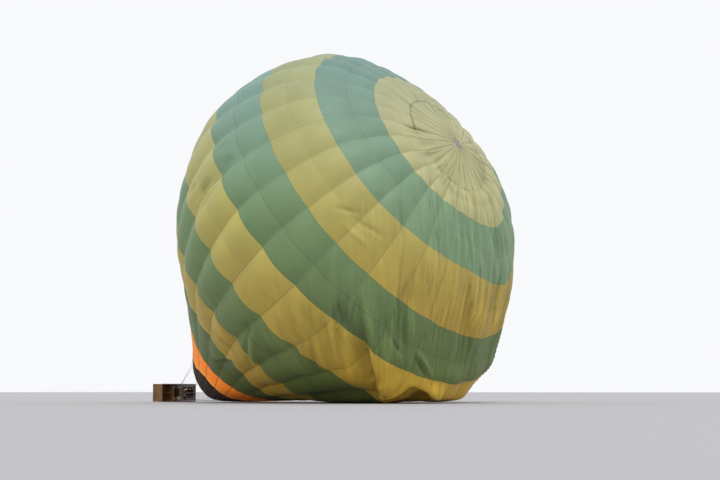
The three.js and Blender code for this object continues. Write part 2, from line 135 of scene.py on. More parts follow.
# %% [markdown]
# ## The shape of the envelope
# A balloon's envelope is sewn from 26 gores. Eleven rings of seams cross them, from the vent hole to
# the mouth, and the colours change at those rings. So one pair of numbers names any point of the
# cloth: its ring and its tape. The table below has each ring's radius and its height on the leaning
# axis, and a smooth curve joins them. The hot air fills the upper part, and the rest is slack: the
# tail sags, the belly hangs, and what would reach below the ground lies on it.

# %% Shape of the cloth
GORES = 26
LEAN = math.radians(35.6)
GROUND = cad_box[0][2]
# The height at which cloth comes to rest
LYING = -14.85
# Columns: radius, height along the axis
RINGS = np.array([
    (0, 12.0), (4.5, 11.35), (7.35, 10.6), (11.45, 8.4), (13.9, 4.65), (15.0, 0.0),
    (13.95, -4.85), (11.85, -9.05), (9.1, -12.1), (6.6, -14.7), (5.0, -16.4), (3.9, -17.8),
])
LAST_RING = len(RINGS) - 1
# Rows of panels from one ring to the next
PANEL_ROWS = 2
TAIL_SAG, TAIL_START, TAIL_END = 3.0, -8.0, -17.8
# Columns: shift along +X, shift up, middle height, reach
BELLY = [(0, -1.6, 3.0, 11.0), (-1.5, 0, 7.5, 7.0), (1.3, 0, -2.5, 6.0)]
BELLY_FADE = 6.0
GROUND_SOFTNESS = 0.35
CROWN_REACH, CROWN_TALL, CROWN_NARROW, CROWN_SHIFT = 10.0, 0.02, 0.05, -0.3
POLE_SHIFT, POLE_TAPE, POLE_FADE = 0.24, 8.7, 3.5
# Where the cloth has slid. Columns: ring, tape, reach in rings, reach in tapes, rings it slid
SLIDES = [
    (3.4, 5.2, 3.2, 4.2, -0.24), (2.7, 9.5, 2.2, 3.5, 0.25), (7.6, 4.6, 1.4, 2.8, 0.45),
    (9.2, 0.5, 1.1, 5, 0.3), (10, -1.5, 0.9, 2.5, 0.45),
]
# How far gores stand out over their tapes, as shares of the radius, near the ends and at its fullest.
# The rings are where the swell starts, is full, starts to fade and has faded
SWELL_LEAST, SWELL_FULL = 0.006, 0.022
SWELL_RINGS = (2.8, 6.2, 7, 9)
# The share of the swell at which a gore keeps the table's radius
SWELL_LEVEL = 0.3
# Cloth that hangs lower, or is held up. Columns: ring, tape, reach in rings, reach in tapes, drop
HANGS = [
    (5.62, 5.9, 0.55, 2.6, 0.8), (6.45, 6.3, 0.95, 1.3, 2.2), (5.8, 5.55, 0.3, 0.6, 1.2),
    (5.22, 6.0, 0.2, 0.42, 1.4), (5.55, 7.3, 0.48, 1.3, 1.3), (5.62, 6.0, 0.3, 0.5, -0.6),
]


def rise(x):
    x = np.clip(x, 0, 1)
    return x * x * (3 - 2 * x)


def bell(x):
    return np.maximum(0, 1 - x * x) ** 2


def plateau(x, start, full, fade, end):
    """Rises from 0 to 1 between start and full, and falls again between fade and end."""
    return rise((x - start) / (full - start)) * (1 - rise((x - fade) / (end - fade)))


def along_profile(ring, column):
    """A smooth curve through one column of the ring table."""
    table = RINGS[:, column]
    slope = np.empty(len(table))
    slope[1:-1] = (table[2:] - table[:-2]) / 2
    slope[0] = table[1] if column == 0 else 0
    slope[-1] = table[-1] - table[-2]
    cell = np.clip(np.floor(ring).astype(int), 0, LAST_RING - 1)
    u = ring - cell
    start, end = table[cell], table[cell + 1]
    into, out = slope[cell], slope[cell + 1]
    return ((2 * u**3 - 3 * u**2 + 1) * start + (u**3 - 2 * u**2 + u) * into
            + (3 * u**2 - 2 * u**3) * end + (u**3 - u**2) * out)


def tape_angle(tape):
    """Tapes are counted from the -Y side towards the lower side."""
    return np.pi / 2 + np.asarray(tape, float) * 2 * np.pi / GORES


def across_gore(tape):
    """0 on a tape, 1 in the middle of a gore."""
    share = tape - np.floor(tape)
    return 4 * share * (1 - share)


def slid_place(ring, tape):
    """Where a point of the sewn pattern lies on the settled form, as its ring and angle there."""
    place = ring + 0.0
    for ring0, tape0, rings, tapes, slide in SLIDES:
        apart = (tape - tape0 + GORES / 2) % GORES - GORES / 2
        place = place + slide * bell((ring - ring0) / rings) * bell(apart / tapes)
    shift = POLE_SHIFT * (1 - rise(ring / POLE_FADE))
    angle, towards = tape_angle(tape), tape_angle(POLE_TAPE)
    across = place * np.cos(angle) + shift * np.cos(towards)
    along = place * np.sin(angle) + shift * np.sin(towards)
    return np.hypot(across, along), np.arctan2(along, across)


def swelling(ring):
    """How far the middle of a gore stands out over its tapes, as a share of the radius."""
    return SWELL_LEAST + (SWELL_FULL - SWELL_LEAST) * plateau(ring, *SWELL_RINGS)


def settled(ring, tape):
    """A point of the cloth before its folds."""
    place, angle = slid_place(ring, tape)
    radius = along_profile(place, 0) * (1 + swelling(ring) * (across_gore(tape) - SWELL_LEVEL))
    height = along_profile(place, 1)
    crown = rise(height / CROWN_REACH)
    up = radius * np.cos(angle) * (1 + CROWN_TALL * crown)
    y = -radius * np.sin(angle) * (1 - CROWN_NARROW * crown) + CROWN_SHIFT * crown
    x = height * math.cos(LEAN) - up * math.sin(LEAN)
    z = height * math.sin(LEAN) + up * math.cos(LEAN)
    tail = np.maximum(0, (TAIL_START - height) / (TAIL_START - TAIL_END))
    z = z - TAIL_SAG * tail * tail
    under = np.maximum(0, -np.cos(angle)) ** 2 * rise(radius / BELLY_FADE)
    for shift_x, shift_up, middle, reach in BELLY:
        slack = under * bell((height - middle) / reach)
        x = x + shift_x * slack
        z = z + shift_up * slack
    for ring0, tape0, rings, tapes, drop in HANGS:
        z = z - drop * bell((ring - ring0) / rings) * bell((tape - tape0) / tapes)
    clear = z - LYING
    z = LYING + (clear + np.hypot(clear, 2 * GROUND_SOFTNESS)) / 2
    return np.stack([x, y, z], -1)


apex = settled(np.array([0.0]), np.array([0.0]))[0]
print("top of the envelope at", np.round(apex, 2))

# %% [markdown]
# ## Folds and creases
# Cloth that carries load is smooth: each gore swells between its tapes, most of all near the mouth.
# Cloth with spare length folds. On the low front side it hangs in narrow upright pleats, so the
# noise that shapes them is stretched along Z. A few big folds and creases are single features, and
# a short table places each by its ring and tape. All of them push the cloth along its normal.

# %% Noise for cloth
def smooth_noise(x, y, seed, size=64):
    """Value noise from -1 to 1 on a plane."""
    grid = np.random.default_rng(seed).uniform(-1, 1, (size, size))
    i, j = np.floor(x).astype(int), np.floor(y).astype(int)
    u, v = rise(x - i), rise(y - j)
    i, next_i, j, next_j = i % size, (i + 1) % size, j % size, (j + 1) % size
    low = grid[i, j] * (1 - u) + grid[next_i, j] * u
    high = grid[i, next_j] * (1 - u) + grid[next_i, next_j] * u
    return low * (1 - v) + high * v


def ridges(x, y, seed):
    """Narrow crests between wide hollows, from -1.5 to 0.5."""
    return 0.5 - np.abs(smooth_noise(x, y, seed)) * 2


# %% Where the cloth hangs in pleats
HANGING_AXIS_X = 1.0
HANGING_RADIUS = 12.0
PLEAT_LENGTH = 5.5
# How far the pleats of a row reach beyond its half height and half width, before they have faded
FADE_UP, FADE_ROUND = 1.6, 2
# How far a pleat wanders from a straight line, and how far rows of the table are apart in the noise
PLEAT_DRIFT, ROW_SHIFT = 0.35, 7.3
# Finer pleats over the wide ones, as shares of their depth, number and length
FINE_DEPTH, FINE_COUNT, FINE_LENGTH = 0.4, 2.3, 1.7
# The depth of a pleat in fully slack cloth
SLACK_DEPTH = 0.12
# Pleats come in patches: how strong they are at the middle of the noise, by how much that changes,
# and how many metres round and up the noise takes
PATCH_MIDDLE, PATCH_CHANGE, PATCH_ROUND, PATCH_UP = 0.55, 0.9, 2.3, 3.1
DRIFT_SEED, WIDE_SEED, FINE_SEED, PATCH_SEED = 50, 70, 90, 110
# Both sides are alike. Columns: degrees round the front, height, half width in degrees,
# half height, depth of the pleats, width of a pleat
PLEATS = [
    (8, -5.0, 34, 5.5, 0.10, 0.42),
    (16, -1.5, 20, 5.0, 0.11, 0.75),
    (30, -8.0, 40, 4.0, 0.09, 0.55),
    (24, -11.0, 50, 3.5, 0.10, 0.50),
    (61, -8.8, 6, 1.9, 0.14, 0.30),
    (41, -9.0, 12, 2.8, 0.13, 0.36),
    (97, -11.4, 22, 2.6, 0.09, 0.42),
    (120, -9.5, 22, 4.0, 0.06, 0.55),
]


def hanging_place(base):
    """Degrees round the front of the balloon, and metres along the cloth there."""
    turn = np.arctan2(base[..., 1], base[..., 0] - HANGING_AXIS_X)
    return np.degrees(turn), turn * HANGING_RADIUS


def pleats(base):
    """Height of the pleats, and how much the cloth hangs slack there."""
    degrees, around = hanging_place(base)
    z = base[..., 2]
    total, slack = np.zeros_like(z), np.zeros_like(z)
    for row, (turn, height, width, reach, depth, pitch) in enumerate(PLEATS):
        near = bell((np.abs(degrees) - turn) / (FADE_ROUND * width)) * bell((z - height) / (FADE_UP * reach))
        drift = around + PLEAT_DRIFT * smooth_noise(around / 4 + row, z / 3, DRIFT_SEED + row)
        across, along = drift / pitch, z / PLEAT_LENGTH + ROW_SHIFT * row
        fine = ridges(across * FINE_COUNT, along * FINE_LENGTH, FINE_SEED + row)
        patchy = smooth_noise(around / PATCH_ROUND + 3 * row, z / PATCH_UP, PATCH_SEED + row)
        patchy = rise(PATCH_MIDDLE + PATCH_CHANGE * patchy)
        total += near * depth * patchy * (ridges(across, along, WIDE_SEED + row) + FINE_DEPTH * fine)
        slack = np.maximum(slack, near * (depth / SLACK_DEPTH))
    return total, slack


print("pleats:", len(PLEATS), "areas on each side")

# %% Single folds
# A ridge or a groove is widest in its middle. A lap is a step: the cloth on one side of its line
# stands out over the other, and both sides run out flat again.
# How far a fold reaches each way from its middle, as a share of its length
FOLD_REACH = 0.75
# Metres in which a lap steps up, the depth of a full lap, and the light below and above its line
LAP_STEP, LAP_DEPTH, LAP_DARK, LAP_LIGHT = 0.16, 0.5, -0.13, 0.09
# The light on a ridge or groove as a share of its depth, and the width of all light
FOLD_LIGHT, LIGHT_WIDTH = 0.4, 0.7
# How far apart points are that measure the cloth's slope, in rings or tapes
SLOPE_STEP = 0.01
# Columns: kind, ring and tape of its start, ring and tape of its end, half width, depth
FOLDS = [
    ("lap", 4.55, 3.40, 5.75, 5.10, 1.70, 0.80),
    ("lap", 3.05, 6.15, 4.20, 6.80, 1.20, 0.26),
    ("lap", 4.05, 4.28, 4.62, 4.70, 0.70, 0.30),
    ("groove", 4.94, -1.62, 4.66, -1.58, 0.10, -0.16),
    ("groove", 4.99, -1.22, 4.64, -1.15, 0.10, -0.16),
    ("groove", 5.90, -1.25, 4.98, -1.12, 0.12, -0.20),
    ("groove", 5.95, -1.55, 5.35, -1.45, 0.10, -0.16),
    ("ridge", 5.90, -0.93, 4.98, -0.83, 0.20, 0.20),
    ("groove", 3.62, 1.40, 3.40, 1.85, 0.14, -0.13),
    ("groove", 3.50, 2.00, 3.38, 2.70, 0.14, -0.13),
    ("ridge", 3.70, 1.80, 3.66, 2.60, 0.20, 0.10),
    ("lap", 8.50, 1.55, 7.90, 2.25, 0.60, 0.40),
    ("ridge", 4.60, 5.02, 4.93, 5.66, 0.18, 0.22),
    ("groove", 4.70, 4.95, 5.00, 5.55, 0.16, -0.22),
    ("groove", 4.58, 4.18, 4.78, 4.60, 0.16, -0.20),
    ("ridge", 6.30, 2.10, 7.20, 3.10, 0.40, 0.22),
    ("groove", 6.35, 1.95, 7.25, 2.95, 0.30, -0.18),
    ("ridge", 5.20, 3.45, 5.85, 4.40, 0.45, 0.26),
    ("groove", 5.70, 3.10, 6.20, 4.00, 0.40, -0.20),
    ("groove", 4.70, 2.90, 5.05, 3.30, 0.18, -0.26),
    ("groove", 4.72, 3.08, 5.02, 3.42, 0.16, -0.20),
    ("lap", 5.74, 5.12, 5.25, 5.27, 0.80, 0.55),
    ("lap", 5.25, 5.27, 5.18, 6.05, 0.80, 0.50),
    ("lap", 5.33, 4.55, 5.62, 4.60, 0.60, 0.30),
    ("ridge", 5.12, 4.70, 5.06, 5.55, 0.90, 0.16),
    ("ridge", 3.10, 7.05, 4.40, 7.15, 1.10, 0.16),
]


def cloth_point(ring, tape):
    return settled(np.array([float(ring)]), np.array([float(tape)]))[0]


def outward_at(ring, tape):
    down = cloth_point(ring + SLOPE_STEP, tape) - cloth_point(ring - SLOPE_STEP, tape)
    across = cloth_point(ring, tape + SLOPE_STEP) - cloth_point(ring, tape - SLOPE_STEP)
    normal = np.cross(down, across)
    return normal / np.linalg.norm(normal)


def single_folds(base):
    """Height of the single folds, and how much light each takes from or adds to the cloth."""
    total, light = np.zeros(base.shape[:-1]), np.zeros(base.shape[:-1])
    for kind, ring0, tape0, ring1, tape1, width, depth in FOLDS:
        start, end = cloth_point(ring0, tape0), cloth_point(ring1, tape1)
        normal = outward_at((ring0 + ring1) / 2, (tape0 + tape1) / 2)
        middle, length = (start + end) / 2, np.linalg.norm(end - start)
        ahead = (end - start) / length
        aside = np.cross(normal, ahead)
        offset = base - middle
        s, t = offset @ ahead, offset @ aside
        inside = (np.abs(offset @ normal) < length) * bell(s / (FOLD_REACH * length))
        if kind == "lap":
            total += inside * depth * np.tanh(t / LAP_STEP) * np.exp(-np.abs(t) / width)
            shade = np.where(t < 0, LAP_DARK, LAP_LIGHT) * np.exp(-np.abs(t) / (LIGHT_WIDTH * width))
            light += inside * min(1.0, depth / LAP_DEPTH) * shade
        else:
            total += inside * depth * np.exp(-((t / width) ** 2))
            light += inside * FOLD_LIGHT * depth * np.exp(-((t / (LIGHT_WIDTH * width)) ** 2))
    return total, light


print("single folds:", len(FOLDS))

# %% Swell of gores and panels
VENT_EDGE = 1.0
# The swell of taut gores, and how much of it slack cloth loses
TAUT_SWELL, SLACK_LOSS = 0.75, 1.3
# Metres of swell added near the top, the rings between which it rises and fades, and its slack loss
UPPER_SWELL, UPPER_RINGS, UPPER_LOSS = 0.14, (1.2, 2.0, 3.2, 4.8), 0.6
# The same for panels, which swell between level seams and start within a fifth of a ring
PANEL_SWELL, PANEL_LOSS, PANEL_START, PANEL_LEVEL = 0.05, 0.8, 0.2, 0.6


def sewn_swell(ring, tape, slack):
    """How gores and panels stand out between their seams."""
    middle = across_gore(tape) - 0.5
    gore = along_profile(ring, 0) * swelling(ring) * (TAUT_SWELL - SLACK_LOSS * slack)
    upper = UPPER_SWELL * plateau(ring, *UPPER_RINGS) * (1 - UPPER_LOSS * slack)
    start = np.clip((ring - VENT_EDGE) / PANEL_START, 0, 1)
    panel = np.abs(np.sin(np.pi * PANEL_ROWS * ring)) * start * (ring < LAST_RING) - PANEL_LEVEL
    return (gore + upper) * middle + PANEL_SWELL * (1 - PANEL_LOSS * slack) * panel


# %% All folds of the cloth
# Slack cloth: degrees each side of the front, the height where it starts and the metres to full,
# and the same for its place along X
SLACK_TURN, SLACK_TOP, SLACK_FADE, SLACK_BACK, SLACK_DEEP = 150, 3, 9, -3, 6
# Soft waves. Columns: depth, metres round, metres up, shift round, shift up, seed
SLACK_WAVE = (0.16, 2.1, 7.5, 11, 3, 5)
WIDE_WAVE = (0.05, 3.7, 3.3, 7, 5, 34)
# Folds round the vent hole. Columns: depth, folds to a gore, waves to a ring, shifts, seed
EDGE_WAVE = (0.10, 1.1, 2, 3, 0, 41)
EDGE_FOLDS = (0.07, 2.7, 1.5, 0, 0, 42)
INNER_FOLDS = (0.05, 2.2, 1.2, 5, 4, 43)
# How far they reach from the edge, in rings, and where the inner ones are deepest
EDGE_REACH, INNER_REACH, INNER_RING = 0.55, 0.6, 0.95
# The most that pleats and gathers darken or lighten the cloth's colour, as painted shade and light
MOST_CREASE = 0.06
# How far apart points are that give the finished face its normal, and how far it keeps from the ground
NORMAL_STEP, POLE_STEP = 2e-3, 1e-4
GROUND_CLEARANCE = 0.012


def soft_wave(around, up, row):
    depth, length_round, length_up, shift_round, shift_up, seed = row
    return depth * smooth_noise(around / length_round + shift_round, up / length_up + shift_up, seed)


def gathers(kind, tape, ring, row):
    depth, count, waves, shift_tape, shift_ring, seed = row
    return depth * kind(tape * count + shift_tape, ring * waves + shift_ring, seed)


def folds(ring, tape):
    """Height of the folds over the settled cloth, the light and shade painted for them, and how slack the
    cloth hangs.
    """
    base = settled(ring, tape)
    degrees, around = hanging_place(base)
    x, z = base[..., 0], base[..., 2]
    slack = bell(degrees / SLACK_TURN) * rise((SLACK_TOP - z) / SLACK_FADE)
    slack = slack * rise((x - SLACK_BACK) / SLACK_DEEP)
    creased, hanging = pleats(base)
    single, light = single_folds(base)
    height = sewn_swell(ring, tape, slack) + creased + single
    height += slack * soft_wave(around, z, SLACK_WAVE) + soft_wave(around, z, WIDE_WAVE)
    # Gathered cloth round the vent hole, in folds that point to its middle
    edge, inner = bell((ring - VENT_EDGE) / EDGE_REACH), bell((ring - INNER_RING) / INNER_REACH)
    height += edge * gathers(smooth_noise, tape, ring, EDGE_WAVE)
    height += edge * gathers(ridges, tape, ring, EDGE_FOLDS)
    gathered = inner * gathers(ridges, tape, ring, INNER_FOLDS)
    # Pleats and gathers also give painted shade in hollows and painted light on crests
    pleat_and_gather_shading = np.clip(creased + gathered, -MOST_CREASE, MOST_CREASE)
    return height + gathered, pleat_and_gather_shading + light, hanging


def cloth(ring, tape, lift=0.0):
    """The finished outer face of the cloth, or a face lifted from it along its normal."""
    ring, tape = np.broadcast_arrays(np.asarray(ring, float), np.asarray(tape, float))
    above = np.maximum(ring - NORMAL_STEP, POLE_STEP)
    down = settled(ring + NORMAL_STEP, tape) - settled(above, tape)
    across = settled(ring, tape + NORMAL_STEP) - settled(ring, tape - NORMAL_STEP)
    normal = np.cross(down, across)
    normal /= np.linalg.norm(normal, axis=-1, keepdims=True)
    point = settled(ring, tape) + normal * (folds(ring, tape)[0] + lift)[..., None]
    point[..., 2] = np.maximum(point[..., 2], GROUND + GROUND_CLEARANCE + lift)
    return point


print("tape 0 on the widest ring is at", np.round(cloth(5, 0), 2))

# %% [markdown]
# ## The bands of cloth
# Each colour band is a strip of panels that runs round the axis. Its mesh is a grid: rows follow the
# rings and columns follow the tapes, with more columns on the slack lower half, where the folds are
# narrow. The UV map holds tape and ring, and two attributes hold the distance in metres to the
# nearest tape and the nearest level seam, so a material can draw every line of stitching.

# %% Grid of cloth
ROW_LENGTH = 0.15
TIGHT_COLUMNS = 12
SLACK_COLUMNS = 24
SLACK_GORES = range(-1, 14)
# A band ends this far from its seam, in rings
SEAM_SHARE = 0.0001
FEWEST_ROWS = 6
CLOTH_THICKNESS = 0.006
EDGE_ANGLE = math.radians(65)


def tape_columns():
    """Tape numbers of the grid's columns, once round."""
    places = []
    for gore in range(-1, GORES - 1):
        count = SLACK_COLUMNS if gore in SLACK_GORES else TIGHT_COLUMNS
        places.extend(gore + np.arange(count) / count)
    return np.array(places + [GORES - 1])


def store(piece, name, values):
    layer = piece.data.attributes.new(name, "FLOAT", "POINT")
    layer.data.foreach_set("value", np.asarray(values, np.float32).ravel())


def store_seams(piece, grid_ring, grid_tape):
    """Keeps each point's painted crease light and shade and its distances to the nearest tape and level seam.
    """
    _, crease, hanging = folds(grid_ring, grid_tape)
    gore_width = along_profile(grid_ring, 0) * 2 * np.pi / GORES
    ring_gaps = np.hypot(*np.diff(RINGS, axis=0).T)
    band_length = ring_gaps[np.clip(grid_ring.astype(int), 0, LAST_RING - 1)]
    store(piece, "crease", crease)
    store(piece, "hanging", hanging)
    store(piece, "to_tape", np.abs(grid_tape - np.round(grid_tape)) * gore_width)
    panel_row = grid_ring * PANEL_ROWS
    store(piece, "to_seam", np.abs(panel_row - np.round(panel_row)) / PANEL_ROWS * band_length)


def cloth_grid(name, rings, lift=0.0, ring_shift=None):
    """A grid of cloth over the given rings, closed round the axis."""
    tapes = tape_columns()
    grid_ring, grid_tape = np.meshgrid(rings, tapes[:-1], indexing="ij")
    if ring_shift is not None:
        grid_ring = grid_ring + ring_shift(grid_ring, grid_tape)
    points = cloth(grid_ring, grid_tape, lift)
    rows, columns = grid_ring.shape
    row, column = np.divmod(np.arange((rows - 1) * columns), columns)
    a, b = row * columns + column, row * columns + (column + 1) % columns
    faces = np.stack([a, a + columns, b + columns, b], -1)
    piece = mesh_object(name, points.reshape(-1, 3), faces)
    store_seams(piece, grid_ring, grid_tape)
    u = np.stack([tapes[column], tapes[column], tapes[column + 1], tapes[column + 1]], -1)
    v = np.stack([rings[row], rings[row + 1], rings[row + 1], rings[row]], -1)
    uv = piece.data.uv_layers.new(name="seams")
    uv.data.foreach_set("uv", np.stack([u, v], -1).astype(np.float32).ravel())
    return piece


def thicken(piece):
    """A thin wall on the inner side of a sheet, with crisp edges where it ends."""
    solid = piece.modifiers.new("thickness", "SOLIDIFY")
    solid.thickness = CLOTH_THICKNESS
    solid.offset = -1
    solid.use_even_offset = False
    piece = keep_as_mesh(piece, piece.name)
    piece.data.set_sharp_from_angle(angle=EDGE_ANGLE)
    return piece


def rings_between(first, last):
    length = np.hypot(*(RINGS[last] - RINGS[first]))
    count = max(FEWEST_ROWS, 2 * int(round(length / ROW_LENGTH / 2)))
    return np.linspace(first + SEAM_SHARE, last - SEAM_SHARE, count + 1)


print("the grid has", len(tape_columns()) - 1, "columns once round")

# %% Bands of cloth
# Columns: CAD node, first ring, last ring, material slot
BANDS = [
    ("crown_band", 1, 2, "pale_yellow_fabric"),
    ("green_band_1", 2, 3, "pale_green_fabric"),
    ("yellow_band_1", 3, 4, "yellow_fabric"),
    ("green_band_2", 4, 5, "green_fabric"),
    ("yellow_band_2", 5, 6, "yellow_fabric"),
    ("green_band_3", 6, 7, "green_fabric"),
    ("yellow_band_3", 7, 8, "yellow_fabric"),
    ("green_band_4", 8, 9, "green_fabric"),
    ("lit_band", 9, 10, "lit_fabric"),
    ("mouth_band", 10, 11, "mouth_fabric"),
]
# Waves of the vent hole's edge, in the columns of the folds round it, and how far they reach
HOLE_WAVES = [(0.030, 0.9, 0, 7, 0, 61), (0.016, 2.7, 0, 0, 0, 62)]
HOLE_REACH = 0.4


def wavy_edge(ring, tape):
    """The edge of the vent hole isn't quite round."""
    wave = sum(gathers(smooth_noise, tape, ring, row) for row in HOLE_WAVES)
    return wave * rise(1 - (ring - VENT_EDGE) / HOLE_REACH)


cloth_bands = {}
for node, first, last, slot in BANDS:
    shift = wavy_edge if first == 1 else None
    band = thicken(cloth_grid(f"{node}_cloth", rings_between(first, last), ring_shift=shift))
    cloth_bands[node] = band
    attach(band, "envelope")
    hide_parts(node)
print("cloth:", sum(map(triangles, cloth_bands.values())), "triangles in", len(cloth_bands), "bands")

# %% [markdown]
# ## The parachute vent
# A round panel closes the hole at the top from the inside, and the air presses it against the edge
# of the hole. It is a grid of the same cloth with its own pole at the middle, set one layer in.

# %% Vent
VENT_MARGIN = 0.07
VENT_DEPTH = -0.014
VENT_ROWS = 34
POLE_RING, FIRST_RING = 0.004, 0.02
# The round patch sewn over the middle reaches to this ring
PATCH_RING = 0.11
vent_rings = np.concatenate([[POLE_RING], np.linspace(FIRST_RING, VENT_EDGE + VENT_MARGIN, VENT_ROWS)])
vent = cloth_grid("vent_cloth", vent_rings, VENT_DEPTH)


def close_pole(piece, columns):
    """Joins the innermost row of a grid in one point."""
    shape = bmesh.new()
    shape.from_mesh(piece.data)
    shape.verts.ensure_lookup_table()
    bmesh.ops.pointmerge(shape, verts=shape.verts[:columns], merge_co=shape.verts[0].co.copy())
    shape.to_mesh(piece.data)
    shape.free()


close_pole(vent, len(tape_columns()) - 1)
vent = thicken(vent)
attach(vent, "vent")
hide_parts("vent_panel")
print("vent:", triangles(vent), "triangles")

# %% [markdown]
# ## Load tapes
# Polyester tapes are sewn on every seam between gores and carry the load from the top ring to the
# wires. Each is a flat strip that lies in the valley between two gores. Over the vent hole they go
# on as bare webbing to a metal ring, which is why they are two pieces here.

# %% Load tapes
TAPE_WIDTH = 0.05
TAPE_THICKNESS = 0.003
TAPE_LIFT = 0.004
# How deep a strip lies in its valley, as a share of its width
VALLEY = 0.08
# How far to each side of a tape the cloth is measured, in tapes
BESIDE = 0.02
STRIP_SIDES = 6
TAPE_ROWS = 190
TAPE_END = LAST_RING - 0.002


def tape_strips(name, rings, width):
    """One closed strip on each tape, with its section turned to the cloth."""
    points, faces = [], []
    valley = width * VALLEY
    section = [(-0.5, valley), (0, 0), (0.5, valley), (0.5, valley + TAPE_THICKNESS),
               (0, TAPE_THICKNESS), (-0.5, valley + TAPE_THICKNESS)]
    for tape in range(GORES):
        middle = cloth(rings, tape, TAPE_LIFT)
        beside = cloth(rings, tape + BESIDE, TAPE_LIFT) - cloth(rings, tape - BESIDE, TAPE_LIFT)
        beside /= np.linalg.norm(beside, axis=-1, keepdims=True)
        ahead = np.gradient(middle, axis=0)
        up = np.cross(ahead, beside)
        up /= np.linalg.norm(up, axis=-1, keepdims=True)
        start = len(points)
        for spot, aside, outward in zip(middle, beside, up):
            points.extend(spot + aside * (side * width) + outward * lift for side, lift in section)
        for row in range(len(rings) - 1):
            foot = start + row * STRIP_SIDES
            for edge in range(STRIP_SIDES):
                a, b = foot + edge, foot + (edge + 1) % STRIP_SIDES
                faces.append((a, b, b + STRIP_SIDES, a + STRIP_SIDES))
        last = start + (len(rings) - 1) * STRIP_SIDES
        faces.append(tuple(start + i for i in reversed(range(STRIP_SIDES))))
        faces.append(tuple(last + i for i in range(STRIP_SIDES)))
    piece = mesh_object(name, points, faces, smooth=False)
    store(piece, "to_tape", np.ones(len(points)))
    store(piece, "to_seam", np.ones(len(points)))
    return piece


tape_rings = np.linspace(VENT_EDGE + VENT_MARGIN, TAPE_END, TAPE_ROWS)
load_tapes = tape_strips("load_tapes", tape_rings, TAPE_WIDTH)
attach(load_tapes, "envelope")
print("load tapes:", triangles(load_tapes), "triangles")

# %% [markdown]
# Over the hole the webbing narrows and meets at the top ring. The ring is a steel rod bent round, and
# each strip ends in a sewn loop over it. A few millimetres of air lie between webbing and vent.

# %% Crown webbing
WEB_WIDTH = 0.032
RING_RADIUS = 0.23
RING_ROD = 0.022
RING_LIFT = 0.014
WEB_START, WEB_OVERLAP, WEB_ROWS = 0.047, 0.01, 30
web_rings = np.linspace(WEB_START, VENT_EDGE + VENT_MARGIN + WEB_OVERLAP, WEB_ROWS)
top_tapes = tape_strips("crown_webbing_strips", web_rings, WEB_WIDTH)
pole = Vector(cloth_point(0.002, 0.0))
pole_normal = Vector(outward_at(0.02, 0.0))


def ring_shape(radius, rod, segments=64, sides=12):
    """A closed ring round Z, bent from a rod of the given radius."""
    shape = bmesh.new()
    for i in range(segments):
        turn = 2 * math.pi * i / segments
        for j in range(sides):
            around = 2 * math.pi * j / sides
            reach = radius + rod * math.cos(around)
            shape.verts.new((reach * math.cos(turn), reach * math.sin(turn), rod * math.sin(around)))
    shape.verts.ensure_lookup_table()
    for i in range(segments):
        here, ahead = i * sides, (i + 1) % segments * sides
        for j in range(sides):
            k = (j + 1) % sides
            shape.faces.new([shape.verts[spot] for spot in (here + j, ahead + j, ahead + k, here + k)])
    return shape


def finish_shape(shape, name, place):
    """A bmesh as an object whose place is in its mesh, with its faces pointing outwards."""
    bmesh.ops.recalc_face_normals(shape, faces=shape.faces)
    mesh = bpy.data.meshes.new(name)
    shape.to_mesh(mesh)
    shape.free()
    mesh.transform(place)
    mesh.polygons.foreach_set("use_smooth", [True] * len(mesh.polygons))
    return in_scene(name, mesh)


lie_flat = pole_normal.to_track_quat("Z", "Y").to_matrix().to_4x4()
to_pole = Matrix.Translation(pole + pole_normal * RING_LIFT) @ lie_flat
top_ring = finish_shape(ring_shape(RING_RADIUS, RING_ROD), "crown_ring", to_pole)
for piece in (top_tapes, top_ring):
    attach(piece, "envelope")
    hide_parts("crown_webbing")
print("crown webbing:", triangles(top_tapes) + triangles(top_ring), "triangles")

# %% [markdown]
# ## Colours and shader tools
# Every finish is built from nodes. Short helpers keep the trees readable. The first ones add a node
# with its values and links, do arithmetic, spread a value over another range and mix two colours. The
# next ones stand for the texture nodes that nearly every finish uses. Effects that several materials
# share are node groups, built once and placed with their own values.

# %% Shader helpers
def tone(red, green, blue):
    """A screen colour from 0 to 255 as the linear colour that Blender wants."""
    linear = []
    for value in (red, green, blue):
        share = value / 255
        linear.append(share / 12.92 if share <= 0.04045 else ((share + 0.055) / 1.055) ** 2.4)
    return (*linear, 1.0)


def feed(tree, socket, term):
    """Links a socket, or sets its value."""
    if isinstance(term, bpy.types.NodeSocket):
        tree.links.new(term, socket)
    else:
        socket.default_value = term


def add(tree, kind, terms=None, **settings):
    made = tree.nodes.new(kind)
    for key, value in settings.items():
        setattr(made, key, value)
    for key, term in (terms or {}).items():
        feed(tree, made.inputs[key], term)
    return made


def calc(tree, operation, *terms):
    return add(tree, "ShaderNodeMath", dict(enumerate(terms)), operation=operation).outputs[0]


def remap(tree, value, low, high, to_low=0.0, to_high=1.0, smooth=True):
    made = add(tree, "ShaderNodeMapRange", {"Value": value, 1: low, 2: high, 3: to_low, 4: to_high})
    made.interpolation_type = "SMOOTHSTEP" if smooth else "LINEAR"
    return made.outputs[0]


def mixed(tree, factor, first, second):
    made = add(tree, "ShaderNodeMix", data_type="RGBA")
    for socket, term in ((0, factor), (6, first), (7, second)):
        feed(tree, made.inputs[socket], term)
    return made.outputs[2]


def brighter(tree, color, value):
    return add(tree, "ShaderNodeHueSaturation", {"Color": color, "Value": value}).outputs[0]


# %% Texture helpers
# Most of what a noise texture gives lies between these
MOST_NOISE = (0.3, 0.7)


def object_place(tree):
    return add(tree, "ShaderNodeTexCoord").outputs["Object"]


def xyz(tree, place):
    """The parts of a vector, by their names X, Y and Z."""
    return add(tree, "ShaderNodeSeparateXYZ", {0: place}).outputs


def vector(tree, x=0.0, y=0.0, z=0.0):
    return add(tree, "ShaderNodeCombineXYZ", {0: x, 1: y, 2: z}).outputs[0]


